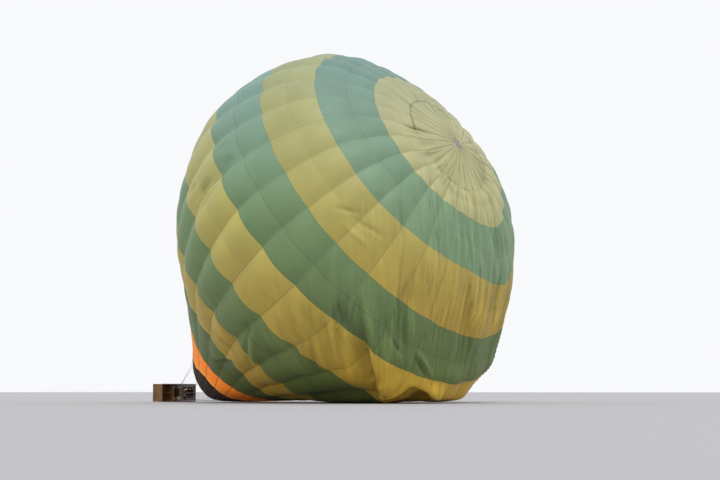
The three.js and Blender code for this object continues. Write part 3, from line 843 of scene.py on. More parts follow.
def times(tree, place, scale):
    return add(tree, "ShaderNodeVectorMath", {0: place, "Scale": scale}, operation="SCALE").outputs[0]


def stretched(tree, place, by):
    return add(tree, "ShaderNodeVectorMath", {0: place, 1: by}, operation="MULTIPLY").outputs[0]


def attribute(tree, name):
    return add(tree, "ShaderNodeAttribute", attribute_name=name).outputs["Fac"]


def noise(tree, place, scale, detail, **more):
    terms = {"Vector": place, "Scale": scale, "Detail": detail, **more}
    return add(tree, "ShaderNodeTexNoise", terms).outputs["Fac"]


def bumped(tree, height, distance, strength):
    terms = {"Height": height, "Distance": distance, "Strength": strength}
    return add(tree, "ShaderNodeBump", terms).outputs[0]


# %% Groups and materials
def shader_group(name, inputs, outputs):
    """An empty node group with named sockets, and what its input and output nodes offer."""
    group = bpy.data.node_groups.new(name, "ShaderNodeTree")
    for socket, kind, value in inputs:
        made = group.interface.new_socket(socket, in_out="INPUT", socket_type=f"NodeSocket{kind}")
        made.default_value = value
    for socket, kind in outputs:
        group.interface.new_socket(socket, in_out="OUTPUT", socket_type=f"NodeSocket{kind}")
    return group, group.nodes.new("NodeGroupInput").outputs, group.nodes.new("NodeGroupOutput").inputs


def placed(tree, group, **terms):
    """The outputs of a node group placed in a tree. Spaces in socket names are written as _."""
    made = add(tree, "ShaderNodeGroup", node_tree=group)
    for key, term in terms.items():
        feed(tree, made.inputs[key.replace("_", " ")], term)
    return made.outputs


def paint(tree, **terms):
    """Feeds the sockets of a material's Principled shader."""
    shader = tree.nodes["Principled BSDF"]
    for key, term in terms.items():
        feed(tree, shader.inputs[key.replace("_", " ")], term)


def new_material(name, **terms):
    made = bpy.data.materials.new(name)
    made.use_nodes = True
    paint(made.node_tree, **terms)
    return made, made.node_tree


# %% [markdown]
# ## Envelope cloth
# The cloth is coated ripstop nylon. Light is painted into its colour: hazy and cool high up, as sky
# light shining through it, and deep and warm near the ground, so each material has a high and a low
# colour and blends them by the point's height. Its creases get painted shade and light too. Each
# panel was cut from its own roll, so its tint differs a little. Stitching shows as a thin darker line
# on every tape and every level seam.

# %% Group: painted shade and highlight lines of thin hanging creases
CREASE_WIDTH = 0.07
RARE_SCALE = 0.22
hung, given, result = shader_group(
    "hanging_creases",
    [("Pitch", "Float", 0.6), ("Length", "Float", 5.0)],
    [("Dark", "Float"), ("Light", "Float")],
)
spot = xyz(hung, object_place(hung))
turn = calc(hung, "ARCTAN2", spot["Y"], calc(hung, "SUBTRACT", spot["X"], HANGING_AXIS_X))
around = calc(hung, "DIVIDE", calc(hung, "MULTIPLY", turn, HANGING_RADIUS), given["Pitch"])
upright = calc(hung, "DIVIDE", spot["Z"], given["Length"])
slack_mask = attribute(hung, "hanging")
# Dark gives painted shade lines along crease hollows, Light painted highlight lines along crests, where the
# cloth hangs slack
for socket, offset in (("Dark", 0.0), ("Light", 17.0)):
    spread = vector(hung, around, upright, offset)
    wave = noise(hung, spread, scale=1.0, detail=2.0)
    to_line = calc(hung, "ABSOLUTE", calc(hung, "SUBTRACT", wave, 0.5))
    line = remap(hung, to_line, 0.0, CREASE_WIDTH, 1.0, 0.0)
    patch = noise(hung, times(hung, spread, RARE_SCALE), scale=1.0, detail=1.0)
    shown = calc(hung, "MULTIPLY", line, remap(hung, patch, 0.42, 0.58))
    feed(hung, result[socket], calc(hung, "MULTIPLY", shown, slack_mask))
print("group", hung.name, "has", len(hung.nodes), "nodes")

# %% Group: sewn cloth colour
# Heights in metres where the colour is wholly the high and the low one, a painted light from sky to ground
HIGH_SKY, LOW_GROUND = 14.0, -13.5
# Metres from a tape or a level seam between which its line fades
TAPE_FADE, SEAM_FADE = (0.035, 0.10), (0.02, 0.07)
# Painted shade in crease hollows and painted light on crests: deepest hollow and highest crest, and how
# bright they are
CREASE_RANGE, CREASE_LIGHT = (-0.13, 0.13), (0.66, 1.28)
# Thin creases, painted as shade and highlight lines: how much the dark ones take away and the light ones add
DARK_CREASE, LIGHT_CREASE = -0.30, 0.18
# The painted shade line round the vent's edge: rings between which it fades, and how dark it is from place to
# place
EDGE_FADE, EDGE_SHADE = (0.008, 0.026), (-0.08, -0.42)
# The patch at the middle of the vent: its colour, the rings in which it fades, and its share
PATCH_TONE, PATCH_FADE, PATCH_SHARE = tone(188, 180, 180), 0.07, 0.9
WHITE, BLACK = (1, 1, 1, 1), (0, 0, 0, 1)
sewn, given, result = shader_group(
    "sewn_cloth",
    [("High Color", "Color", WHITE), ("Middle Color", "Color", WHITE), ("Low Color", "Color", BLACK),
     ("Tape Line", "Float", 0.3), ("Seam Line", "Float", 0.25), ("Panel Tint", "Float", 0.05),
     ("Vent Marks", "Float", 0.0)],
    [("Color", "Color"), ("Line", "Float")],
)


def tinted(*factors):
    """The product of the cloth's tints."""
    product = factors[0]
    for factor in factors[1:]:
        product = calc(sewn, "MULTIPLY", product, factor)
    return product


place = object_place(sewn)
height = xyz(sewn, place)["Z"]
# Painted light: paler and cooler high up, deeper and warmer low down, blended by height
upper = remap(sewn, height, 0.0, HIGH_SKY, smooth=False)
lower = remap(sewn, height, 0.0, LOW_GROUND, smooth=False)
blend = mixed(sewn, upper, given["Middle Color"], given["High Color"])
blend = mixed(sewn, lower, blend, given["Low Color"])
seam_uv = xyz(sewn, add(sewn, "ShaderNodeUVMap", uv_map="seams").outputs[0])
gore_number = calc(sewn, "FLOOR", seam_uv["X"])
panel_number = calc(sewn, "FLOOR", calc(sewn, "MULTIPLY", seam_uv["Y"], PANEL_ROWS))
panel = vector(sewn, gore_number, panel_number)
chance = add(sewn, "ShaderNodeTexWhiteNoise", {"Vector": panel}, noise_dimensions="3D").outputs["Value"]
panel_tint = calc(sewn, "MULTIPLY_ADD", calc(sewn, "SUBTRACT", chance, 0.5), given["Panel Tint"], 1.0)
blotch = remap(sewn, noise(sewn, place, scale=0.45, detail=5.0, Roughness=0.6), *MOST_NOISE, 0.95, 1.05)

# %% Group: sewn cloth lines, painted crease light and shade
tape_line = remap(sewn, attribute(sewn, "to_tape"), *TAPE_FADE, 1.0, 0.0)
seam_line = remap(sewn, attribute(sewn, "to_seam"), *SEAM_FADE, 1.0, 0.0)
line = calc(sewn, "MAXIMUM", calc(sewn, "MULTIPLY", tape_line, given["Tape Line"]),
            calc(sewn, "MULTIPLY", seam_line, given["Seam Line"]))
# Painted shade in crease hollows and painted light on crests
crease = remap(sewn, attribute(sewn, "crease"), *CREASE_RANGE, *CREASE_LIGHT, smooth=False)
thin = placed(sewn, hung, Pitch=0.50, Length=6.0)
# A painted shade line along the edge of the vent hole, on the pale yellow cloth only
to_edge = calc(sewn, "ABSOLUTE", calc(sewn, "SUBTRACT", seam_uv["Y"], VENT_EDGE))
edge_line = calc(sewn, "MULTIPLY", remap(sewn, to_edge, *EDGE_FADE, 1.0, 0.0), given["Vent Marks"])
edge_shade = remap(sewn, noise(sewn, place, scale=1.1, detail=3.0), 0.35, 0.60, *EDGE_SHADE)
tint = tinted(
    panel_tint, blotch, calc(sewn, "SUBTRACT", 1.0, line), crease,
    calc(sewn, "MULTIPLY_ADD", thin["Dark"], DARK_CREASE, 1.0),
    calc(sewn, "MULTIPLY_ADD", thin["Light"], LIGHT_CREASE, 1.0),
    calc(sewn, "MULTIPLY_ADD", edge_line, edge_shade, 1.0),
)
patch = remap(sewn, seam_uv["Y"], PATCH_RING, PATCH_RING + PATCH_FADE, PATCH_SHARE, 0.0)
blend = mixed(sewn, calc(sewn, "MULTIPLY", patch, given["Vent Marks"]), blend, PATCH_TONE)
feed(sewn, result["Color"], brighter(sewn, blend, tint))
feed(sewn, result["Line"], line)
print("group", sewn.name, "has", len(sewn.nodes), "nodes")

# %% Group: ripstop weave
RIPSTOP_PITCH = 0.006
WRINKLE_SHARE = 40.0
ripstop, given, result = shader_group(
    "ripstop", [("Strength", "Float", 0.2), ("Pitch", "Float", RIPSTOP_PITCH)], [("Normal", "Vector")],
)
spot = object_place(ripstop)
cell = times(ripstop, spot, calc(ripstop, "DIVIDE", 1.0, given["Pitch"]))
cell = xyz(ripstop, add(ripstop, "ShaderNodeVectorMath", {0: cell}, operation="FRACTION").outputs[0])
thread = calc(ripstop, "MAXIMUM", *[remap(ripstop, cell[axis], 0.85, 0.95) for axis in ("X", "Z")])
wrinkle = noise(ripstop, spot, scale=3.0, detail=6.0, Roughness=0.65)
relief = calc(ripstop, "MULTIPLY_ADD", wrinkle, WRINKLE_SHARE, thread)
feed(ripstop, result["Normal"], bumped(ripstop, relief, distance=0.0004, strength=given["Strength"]))
print("group", ripstop.name, "has", len(ripstop.nodes), "nodes")

# %% Cloth materials
CLOTH_BUMP = 0.25
# Columns: name, high, middle and low colour, blended by height as painted light, strength of tape and seam
# lines
CLOTHS = [
    ("pale_yellow_cloth", (160, 162, 126), (186, 182, 126), (186, 168, 92), 0.06, 0.05),
    ("pale_green_cloth", (106, 138, 130), (120, 150, 112), (126, 156, 104), 0.06, 0.12),
    ("yellow_cloth", (152, 160, 118), (176, 166, 88), (196, 156, 34), 0.10, 0.05),
    ("green_cloth", (121, 156, 152), (117, 146, 100), (98, 116, 52), 0.14, 0.21),
    # Brighter copies of the yellow and green cloth, painted light for lower bands that face down and away
    # from the light
    ("low_yellow_cloth", (166, 174, 138), (190, 182, 98), (208, 170, 48), 0.10, 0.05),
    ("low_green_cloth", (128, 164, 158), (126, 156, 106), (108, 124, 52), 0.14, 0.21),
]
cloth_materials = {}


def sewn_color(tree, high, middle, low, **terms):
    """The sewn cloth's group with three colours of its own."""
    return placed(tree, sewn, High_Color=tone(*high), Middle_Color=tone(*middle), Low_Color=tone(*low),
                  **terms)


for name, high, middle, low, tape_strength, seam_strength in CLOTHS:
    cloth_materials[name], tree = new_material(name, Roughness=0.55, Sheen_Weight=0.05)
    color = sewn_color(tree, high, middle, low, Tape_Line=tape_strength, Seam_Line=seam_strength,
                       Panel_Tint=0.07, Vent_Marks=float(name == "pale_yellow_cloth"))
    paint(tree, Base_Color=color["Color"], Normal=placed(tree, ripstop, Strength=CLOTH_BUMP)["Normal"])
print("cloth colours:", len(cloth_materials))

# %% [markdown]
# The low yellow band glows, because the flame behind it lights it from inside. Emission does this:
# orange over the band, yellow towards the mouth, and weaker near the ground. The last band is a
# heat resistant cloth, nearly black.

# %% Glowing and dark cloth
GLOW, GLOW_AT_MOUTH, GLOW_ON_GROUND = tone(255, 138, 34), tone(255, 186, 78), 0.12
# Rings between which the glow turns yellow, and heights between which it rises to its full strength
MOUTH_GLOW, GLOW_HEIGHTS = (9.55, 10.0), (-14.5, -13.2)
cloth_materials["lit_cloth"], tree = new_material("lit_cloth", Roughness=0.6, Emission_Strength=0.42)
color = sewn_color(tree, (235, 160, 60), (235, 150, 45), (225, 120, 30),
                   Tape_Line=0.25, Seam_Line=0.0, Panel_Tint=0.06)
ring_place = xyz(tree, add(tree, "ShaderNodeUVMap", uv_map="seams").outputs[0])["Y"]
glow = mixed(tree, remap(tree, ring_place, *MOUTH_GLOW), GLOW, GLOW_AT_MOUTH)
above_ground = xyz(tree, object_place(tree))["Z"]
glow = brighter(tree, glow, remap(tree, above_ground, *GLOW_HEIGHTS, GLOW_ON_GROUND, 1.0))
glow = brighter(tree, glow, calc(tree, "SUBTRACT", 1.0, color["Line"]))
paint(tree, Base_Color=color["Color"], Emission_Color=glow,
      Normal=placed(tree, ripstop, Strength=CLOTH_BUMP)["Normal"])

cloth_materials["mouth_cloth"], tree = new_material("mouth_cloth", Roughness=0.75)
color = sewn_color(tree, (70, 52, 42), (66, 48, 38), (58, 42, 34),
                   Tape_Line=0.3, Seam_Line=0.3, Panel_Tint=0.2)
paint(tree, Base_Color=color["Color"], Normal=placed(tree, ripstop, Strength=0.3)["Normal"])
print("cloth colours:", len(cloth_materials))

# %% Cloth on the bands
# Columns: CAD node of the band, material
BAND_CLOTH = [
    ("crown_band", "pale_yellow_cloth"), ("green_band_1", "pale_green_cloth"),
    ("yellow_band_1", "yellow_cloth"), ("green_band_2", "green_cloth"),
    # The second and third yellow bands and the third green band take the brighter copies, painted light
    ("yellow_band_2", "low_yellow_cloth"), ("green_band_3", "low_green_cloth"),
    ("yellow_band_3", "low_yellow_cloth"), ("green_band_4", "green_cloth"),
    ("lit_band", "lit_cloth"), ("mouth_band", "mouth_cloth"),
]
for node, name in BAND_CLOTH:
    cloth_bands[node].data.materials.append(cloth_materials[name])
vent.data.materials.append(cloth_materials["pale_yellow_cloth"])
print("bands with cloth:", len(BAND_CLOTH))

# %% [markdown]
# The tapes are dyed like the panels that they cross, a little paler, with a coarse woven rib.

# %% Group: woven rib
RIB_PITCH = 0.006
rib, given, result = shader_group(
    "woven_rib", [("Pitch", "Float", RIB_PITCH)], [("Normal", "Vector"), ("Rib", "Float")],
)
spread = times(rib, object_place(rib), calc(rib, "DIVIDE", 1.0, given["Pitch"]))
wave = noise(rib, spread, scale=1.0, detail=2.0)
feed(rib, result["Rib"], wave)
feed(rib, result["Normal"], bumped(rib, wave, distance=0.0006, strength=0.4))
print("group", rib.name, "has", len(rib.nodes), "nodes")

# %% Colours of the tapes
# Columns: name, high, middle and low colour, blended by height as painted light like the cloth
TAPES = [
    ("green_tape", (134, 164, 152), (132, 160, 118), (98, 118, 56)),
    ("yellow_tape", (160, 164, 122), (166, 160, 92), (168, 134, 48)),
    ("dark_tape", (96, 84, 66), (96, 84, 66), (104, 88, 66)),
]
tape_materials = {}
for name, high, middle, low in TAPES:
    made, tree = new_material(name, Roughness=0.8)
    color = sewn_color(tree, high, middle, low, Panel_Tint=0.0)
    woven = placed(tree, rib)
    shade = calc(tree, "MULTIPLY_ADD", woven["Rib"], 0.3, 0.85)
    paint(tree, Base_Color=brighter(tree, color["Color"], shade), Normal=woven["Normal"])
    tape_materials[name] = made
    load_tapes.data.materials.append(made)
top_tapes.data.materials.append(tape_materials["yellow_tape"])
print("tape colours:", len(tape_materials))

# %% Tapes coloured by the bands
# The tape's colour over each band, from the vent to the mouth
BAND_TAPES = ["yellow_tape", "yellow_tape", "green_tape", "yellow_tape", "green_tape", "yellow_tape",
              "green_tape", "yellow_tape", "green_tape", "yellow_tape", "dark_tape"]
tape_order = list(tape_materials)
face_rings = np.minimum((tape_rings[:-1] + tape_rings[1:]) / 2, LAST_RING - 0.001).astype(int)
strip = np.repeat([tape_order.index(BAND_TAPES[ring]) for ring in face_rings], STRIP_SIDES)
strip = np.append(strip, [strip[0], strip[-1]])
load_tapes.data.polygons.foreach_set("material_index", np.tile(strip, GORES).astype(np.int32))
print("tapes over the bands:", {name: int((strip == i).sum()) for i, name in enumerate(tape_order)})

# %% [markdown]
# ## Trees for things that repeat
# Wicker, lacing, coils, wires and bolts repeat one small shape along a line, so Geometry Nodes make
# them. Each tree has named inputs, ends in Realize Instances and Set Material, and its result is kept
# as a plain mesh.

# %% Geometry tree helpers
def geometry_tree(name, **inputs):
    """An empty Geometry Nodes tree. Whole numbers make integer inputs, and _ stands for a space."""
    tree = bpy.data.node_groups.new(name, "GeometryNodeTree")
    tree.interface.new_socket("Base", in_out="INPUT", socket_type="NodeSocketGeometry")
    for key, value in inputs.items():
        kind = "NodeSocketInt" if isinstance(value, int) else "NodeSocketFloat"
        made = tree.interface.new_socket(key.replace("_", " "), in_out="INPUT", socket_type=kind)
        made.default_value = value
    tree.interface.new_socket("Material", in_out="INPUT", socket_type="NodeSocketMaterial")
    tree.interface.new_socket("Result", in_out="OUTPUT", socket_type="NodeSocketGeometry")
    return tree, tree.nodes.new("NodeGroupInput").outputs, tree.nodes.new("NodeGroupOutput").inputs


def joined(tree, *parts):
    made = tree.nodes.new("GeometryNodeJoinGeometry")
    for part in reversed(parts):
        tree.links.new(part, made.inputs[0])
    return made.outputs[0]


def end_tree(tree, given, result, *parts, smooth=True):
    """Joins the parts, realises them and gives them the material."""
    real = add(tree, "GeometryNodeRealizeInstances", {0: joined(tree, *parts)}).outputs[0]
    shaded = add(tree, "GeometryNodeSetShadeSmooth", {0: real, "Shade Smooth": smooth}).outputs[0]
    done = add(tree, "GeometryNodeSetMaterial", {0: shaded, "Material": given["Material"]}).outputs[0]
    feed(tree, result[0], done)
    print("tree", tree.name, "has", len(tree.nodes), "nodes")


def shaped(tree, kind, **terms):
    """The geometry that a node makes. Spaces in socket names are written as _."""
    return add(tree, kind, {key.replace("_", " "): term for key, term in terms.items()}).outputs[0]


def base_curve(tree, given):
    return add(tree, "GeometryNodeMeshToCurve", {0: given["Base"]}).outputs[0]


def moved(tree, part, **terms):
    return add(tree, "GeometryNodeTransform", {0: part, **terms}).outputs[0]


def tube(tree, curve, radius, sides, turn=0.0):
    """A curve given a closed section of so many sides, turned by an angle."""
    section = shaped(tree, "GeometryNodeCurvePrimitiveCircle", Resolution=sides, Radius=radius)
    section = moved(tree, section, Rotation=(0, 0, turn))
    return shaped(tree, "GeometryNodeCurveToMesh", Curve=curve, Profile_Curve=section, Fill_Caps=True)


def repeated(tree, instance, points, rotation=None):
    turn = {} if rotation is None else {"Rotation": rotation}
    made = shaped(tree, "GeometryNodeInstanceOnPoints", Points=points, Instance=instance, **turn)
    return add(tree, "GeometryNodeRealizeInstances", {0: made}).outputs[0]


def grown(tree, name, material, base=None, place=None, **values):
    """Runs a tree on a base object and keeps the result as a plain mesh."""
    if base is None:
        base = mesh_object(f"{name}_base", [(0, 0, 0)])
    run = base.modifiers.new("tree", "NODES")
    run.node_group = tree
    values["Material"] = material
    for socket in tree.interface.items_tree:
        key = socket.name.replace(" ", "_")
        if socket.in_out == "INPUT" and key in values:
            run[socket.identifier] = values[key]
    return keep_as_mesh(base, name, place)


# %% [markdown]
# ## The basket's own axes
# The basket lies on its long side, because it is tipped over while the envelope fills. Its own axes
# are easier to work in: X across it, Y along it, and Z from its floor up to the burner. This matrix
# lays them into the frame.

# %% Place of the basket
BASKET_FOOT = Vector((-21.8, 0, -14.0225))
to_world = Matrix((
    (0, 0, 1, BASKET_FOOT.x),
    (0, 1, 0, BASKET_FOOT.y),
    (-1, 0, 0, BASKET_FOOT.z),
    (0, 0, 0, 1),
))
SIDES = (-1, 1)


def moved_to(x, y, z):
    return Matrix.Translation(Vector((x, y, z)))


def path_object(name, points, closed=False):
    """A bare line through points of the basket's own axes."""
    edges = [(i, i + 1) for i in range(len(points) - 1)]
    if closed:
        edges.append((len(points) - 1, 0))
    return mesh_object(name, points, edges=edges)


def dress(pieces, body, slot, *replaced):
    """Tells the frame which body the pieces move with and hides the solids they stand for. The slot, a
    finish's name, is not used.
    """
    for piece in pieces:
        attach(piece, body)
        if replaced:
            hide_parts(*replaced)


print("the basket's foot is at", [round(value, 3) for value in to_world.translation])

# %% [markdown]
# ## Wicker
# The walls are woven: upright willow stakes, and strands that pass before one stake and behind the
# next. One tree weaves a flat panel. Rows of straight lines are pushed to and fro by a cosine that
# changes sign from row to row. They get a section with four sides and only two pieces from stake to
# stake, because there are thousands of crossings. Its material shades each row on its own.

# %% Wicker finish
WICKER_ROW = 0.026
WILLOW_DARK, WILLOW_LIGHT, WILLOW_WORN = tone(112, 76, 42), tone(176, 132, 84), tone(92, 62, 38)
wicker, tree = new_material("wicker_willow")
spot = object_place(tree)
row = calc(tree, "FLOOR", calc(tree, "DIVIDE", xyz(tree, spot)["X"], WICKER_ROW))
chance = add(tree, "ShaderNodeTexWhiteNoise", {"W": row}, noise_dimensions="1D").outputs["Value"]
stretch = add(tree, "ShaderNodeMapping", {"Vector": spot, "Scale": (30, 3, 3)}).outputs[0]
grain = noise(tree, stretch, scale=2.0, detail=5.0)
color = mixed(tree, remap(tree, grain, *MOST_NOISE), WILLOW_DARK, WILLOW_LIGHT)
worn = remap(tree, noise(tree, spot, scale=1.6, detail=3.0), 0.45, 0.7, 0.0, 0.5)
color = brighter(tree, mixed(tree, worn, color, WILLOW_WORN), remap(tree, chance, 0, 1, 0.82, 1.14))
paint(tree, Base_Color=color, Roughness=remap(tree, grain, 0.2, 0.8, 0.72, 0.50),
      Normal=bumped(tree, grain, distance=0.0015, strength=0.5))
print("wicker finish:", len(tree.nodes), "nodes")

# %% Weave tree
weave, given, result = geometry_tree(
    "weave", Length=1.0, Height=1.0, Stakes=10, Rows=10, Strand_Radius=0.0172, Swing=0.011,
    Stake_Radius=0.006,
)
half = calc(weave, "MULTIPLY", given["Length"], 0.5)
spacing = calc(weave, "DIVIDE", given["Length"], given["Stakes"])
pitch = calc(weave, "DIVIDE", given["Height"], given["Rows"])
left = vector(weave, calc(weave, "MULTIPLY", half, -1.0))
straight = shaped(weave, "GeometryNodeCurvePrimitiveLine", Start=left, End=vector(weave, half))
crossings = calc(weave, "MULTIPLY_ADD", given["Stakes"], 2.0, 1.0)
strand = shaped(weave, "GeometryNodeResampleCurve", Curve=straight, Count=crossings)
levels = shaped(weave, "GeometryNodeMeshLine", Count=given["Rows"], Offset=vector(weave, z=pitch),
                Start_Location=vector(weave, z=calc(weave, "MULTIPLY", pitch, 0.5)))
strands = repeated(weave, strand, levels)
here = xyz(weave, add(weave, "GeometryNodeInputPosition").outputs[0])
stake_number = calc(weave, "DIVIDE", calc(weave, "ADD", here["X"], half), spacing)
row_number = calc(weave, "FLOOR", calc(weave, "DIVIDE", here["Z"], pitch))
swing = calc(weave, "COSINE", calc(weave, "MULTIPLY", calc(weave, "ADD", stake_number, row_number), math.pi))
push = vector(weave, y=calc(weave, "MULTIPLY", swing, given["Swing"]))
woven = shaped(weave, "GeometryNodeSetPosition", Geometry=strands, Offset=push)
feet = shaped(weave, "GeometryNodeMeshLine", Count=calc(weave, "ADD", given["Stakes"], 1.0),
              Start_Location=left, Offset=vector(weave, spacing))
stake = shaped(weave, "GeometryNodeCurvePrimitiveLine", End=vector(weave, z=given["Height"]))
stakes = tube(weave, repeated(weave, stake, feet), given["Stake Radius"], sides=6)
strands = tube(weave, woven, given["Strand Radius"], sides=4, turn=math.pi / 4)
end_tree(weave, given, result, strands, stakes)

# %% Woven walls
STAKE_SPACING = 0.08
STRAND_WIDTH = 0.025
WOVEN = [
    "basket_wall_top", "basket_wall_ground", "basket_end_left", "basket_end_right",
    "basket_partition_left", "basket_partition_right", "basket_divider_left", "basket_divider_right",
]
woven_count = 0
for node in WOVEN:
    low, high = (Vector(corner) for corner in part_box(node))
    size, middle = high - low, (high + low) / 2
    along, across = Vector((0, 1, 0)), Vector((0, 0, 1))
    if size.z >= size.y:
        along, across = -across, along
    turn = Matrix((along, across, Vector((1, 0, 0)))).transposed().to_4x4()
    length = abs(size.dot(along)) - STRAND_WIDTH
    panel = grown(
        weave, f"{node}_wicker", wicker, place=moved_to(low.x, middle.y, middle.z) @ turn,
        Length=length, Height=size.x, Stakes=round(length / STAKE_SPACING), Rows=round(size.x / WICKER_ROW),
    )
    dress([panel], "envelope", "wicker", node)
    woven_count += triangles(panel)
print("wicker:", woven_count, "triangles")

# %% [markdown]
# ## Suede roll and padded sleeves
# The basket's edge is foam under suede, laced on through the wicker, and the four uprights wear
# leather sleeves round their rods. Both are a soft roll along a line that is pinched at each lace. One
# tree gives the line its radius, narrower at the laces, and wrinkles the surface with noise.

# %% Suede and leather
def leather_material(name, dark, light, scale, strength):
    made, tree = new_material(name, Sheen_Weight=0.25, Sheen_Roughness=0.5)
    spot = object_place(tree)
    nap, rubbed = noise(tree, spot, scale=scale, detail=6.0), noise(tree, spot, scale=5.0, detail=3.0)
    color = mixed(tree, remap(tree, rubbed, 0.35, 0.7), tone(*dark), tone(*light))
    pores = add(tree, "ShaderNodeTexVoronoi", {"Vector": spot, "Scale": scale * 1.6}).outputs["Distance"]
    relief = calc(tree, "MULTIPLY_ADD", nap, 0.6, pores)
    paint(tree, Base_Color=brighter(tree, color, remap(tree, nap, *MOST_NOISE, 0.88, 1.12)),
          Roughness=remap(tree, rubbed, *MOST_NOISE, 0.86, 0.66),
          Normal=bumped(tree, relief, distance=0.0012, strength=strength))
    return made


suede = leather_material("suede_roll", (84, 58, 38), (124, 90, 60), 90.0, 0.5)
sleeve_leather = leather_material("sleeve_leather", (46, 40, 36), (74, 64, 54), 130.0, 0.4)
lace_leather = leather_material("lace_leather", (120, 92, 60), (160, 128, 88), 60.0, 0.3)
print("leather finishes:", [finish.name for finish in (suede, sleeve_leather, lace_leather)])

# %% Soft roll tree
roll, given, result = geometry_tree(
    "soft_roll", Radius=0.045, Step=0.02, Sides=14, Lace_Spacing=0.13, Pinch=0.10, Wrinkle=0.006,
    End_Taper=0.0,
)


def narrowed(distance, reach, share):
    """1, less the share where the distance is 0, and 1 again beyond the reach."""
    near = remap(roll, distance, 0.0, reach, 1.0, 0.0)
    return calc(roll, "SUBTRACT", 1.0, calc(roll, "MULTIPLY", near, share))


line = add(roll, "GeometryNodeResampleCurve", {"Curve": base_curve(roll, given), "Length": given["Step"]},
           mode="LENGTH").outputs[0]
spot = add(roll, "GeometryNodeSplineParameter").outputs
phase = calc(roll, "FRACT", calc(roll, "DIVIDE", spot["Length"], given["Lace Spacing"]))
to_lace = calc(roll, "ABSOLUTE", calc(roll, "SUBTRACT", phase, 0.5))
to_end = calc(roll, "PINGPONG", spot["Factor"], 0.5)
pinched = narrowed(to_lace, 0.35, given["Pinch"])
width = calc(roll, "MULTIPLY", pinched, narrowed(to_end, 0.04, given["End Taper"]))
thick = shaped(roll, "GeometryNodeSetCurveRadius", Curve=line, Radius=width)
skin = tube(roll, thick, given["Radius"], given["Sides"])
wrinkles = noise(roll, add(roll, "GeometryNodeInputPosition").outputs[0], scale=14.0, detail=3.0)
depth = calc(roll, "MULTIPLY", calc(roll, "SUBTRACT", wrinkles, 0.5), given["Wrinkle"])
shove = times(roll, add(roll, "GeometryNodeInputNormal").outputs[0], depth)
end_tree(roll, given, result, shaped(roll, "GeometryNodeSetPosition", Geometry=skin, Offset=shove))

# %% Lacing tree
lacing, given, result = geometry_tree("lacing", Loop_Radius=0.048, Lace_Radius=0.004, Lace_Spacing=0.13)
line = {"Curve": base_curve(lacing, given), "Length": given["Lace Spacing"]}
spots = add(lacing, "GeometryNodeCurveToPoints", line, mode="LENGTH").outputs
loop = shaped(lacing, "GeometryNodeCurvePrimitiveCircle", Resolution=16, Radius=given["Loop Radius"])
loop = tube(lacing, loop, given["Lace Radius"], sides=5)
end_tree(lacing, given, result, repeated(lacing, loop, spots["Points"], spots["Rotation"]))

# %% Rim of the basket
RIM_X, RIM_Y, RIM_Z = 0.7775, 2.1775, 1.1953
RIM_CORNER = 0.09
RIM_RADIUS = 0.046


def rounded_rectangle(half_x, half_y, z, radius, steps=6):
    points = []
    for corner_x, corner_y, start in ((1, 1, 0), (-1, 1, 1), (-1, -1, 2), (1, -1, 3)):
        for i in range(steps + 1):
            turn = (start + i / steps) * math.pi / 2
            x = corner_x * (half_x - radius) + radius * math.cos(turn)
            points.append((x, corner_y * (half_y - radius) + radius * math.sin(turn), z))
    return points


def rim_path():
    return path_object("rim_path", rounded_rectangle(RIM_X, RIM_Y, RIM_Z, RIM_CORNER), closed=True)


rim_roll = grown(roll, "rim_roll", suede, base=rim_path(), place=to_world, Radius=RIM_RADIUS)
rim_lacing = grown(lacing, "rim_lacing", lace_leather, base=rim_path(), place=to_world)
dress([rim_roll, rim_lacing], "envelope", "suede", "basket_rim")
print("rim:", triangles(rim_roll), "and", triangles(rim_lacing), "triangles")

# %% Padded uprights
# Columns: CAD node, side across, side along
UPRIGHTS = [("upright_1", -1, -1), ("upright_2", 1, -1), ("upright_3", 1, 1), ("upright_4", -1, 1)]
SLEEVE_FOOT = Vector((0.7735, 0.638, 1.2446))
SLEEVE_TOP = Vector((0.7005, 0.870, 2.2180))
for node, side_x, side_y in UPRIGHTS:
    ends = [Vector((side_x * end.x, side_y * end.y, end.z)) for end in (SLEEVE_FOOT, SLEEVE_TOP)]
    sleeve = grown(
        roll, f"{node}_sleeve", sleeve_leather, base=path_object("sleeve_path", ends), place=to_world,
        Radius=0.026, Step=0.012, Sides=16, Lace_Spacing=0.16, Pinch=0.16, Wrinkle=0.004, End_Taper=0.3,
    )
    laces = grown(
        lacing, f"{node}_straps", lace_leather, base=path_object("strap_path", ends), place=to_world,
        Loop_Radius=0.0255, Lace_Radius=0.0025, Lace_Spacing=0.162,
    )
    dress([sleeve, laces], "envelope", "upright_sleeve", node)
print("each upright:", triangles(sleeve) + triangles(laces), "triangles")

# %% [markdown]
# ## Metal finishes
# Stainless tube, steel that the flame has tinted, alloy, brass, galvanised wire and painted cylinders
# share one group of fine scratches. They are stretched along an axis, shade the colour a little, and
# drive roughness and bump.

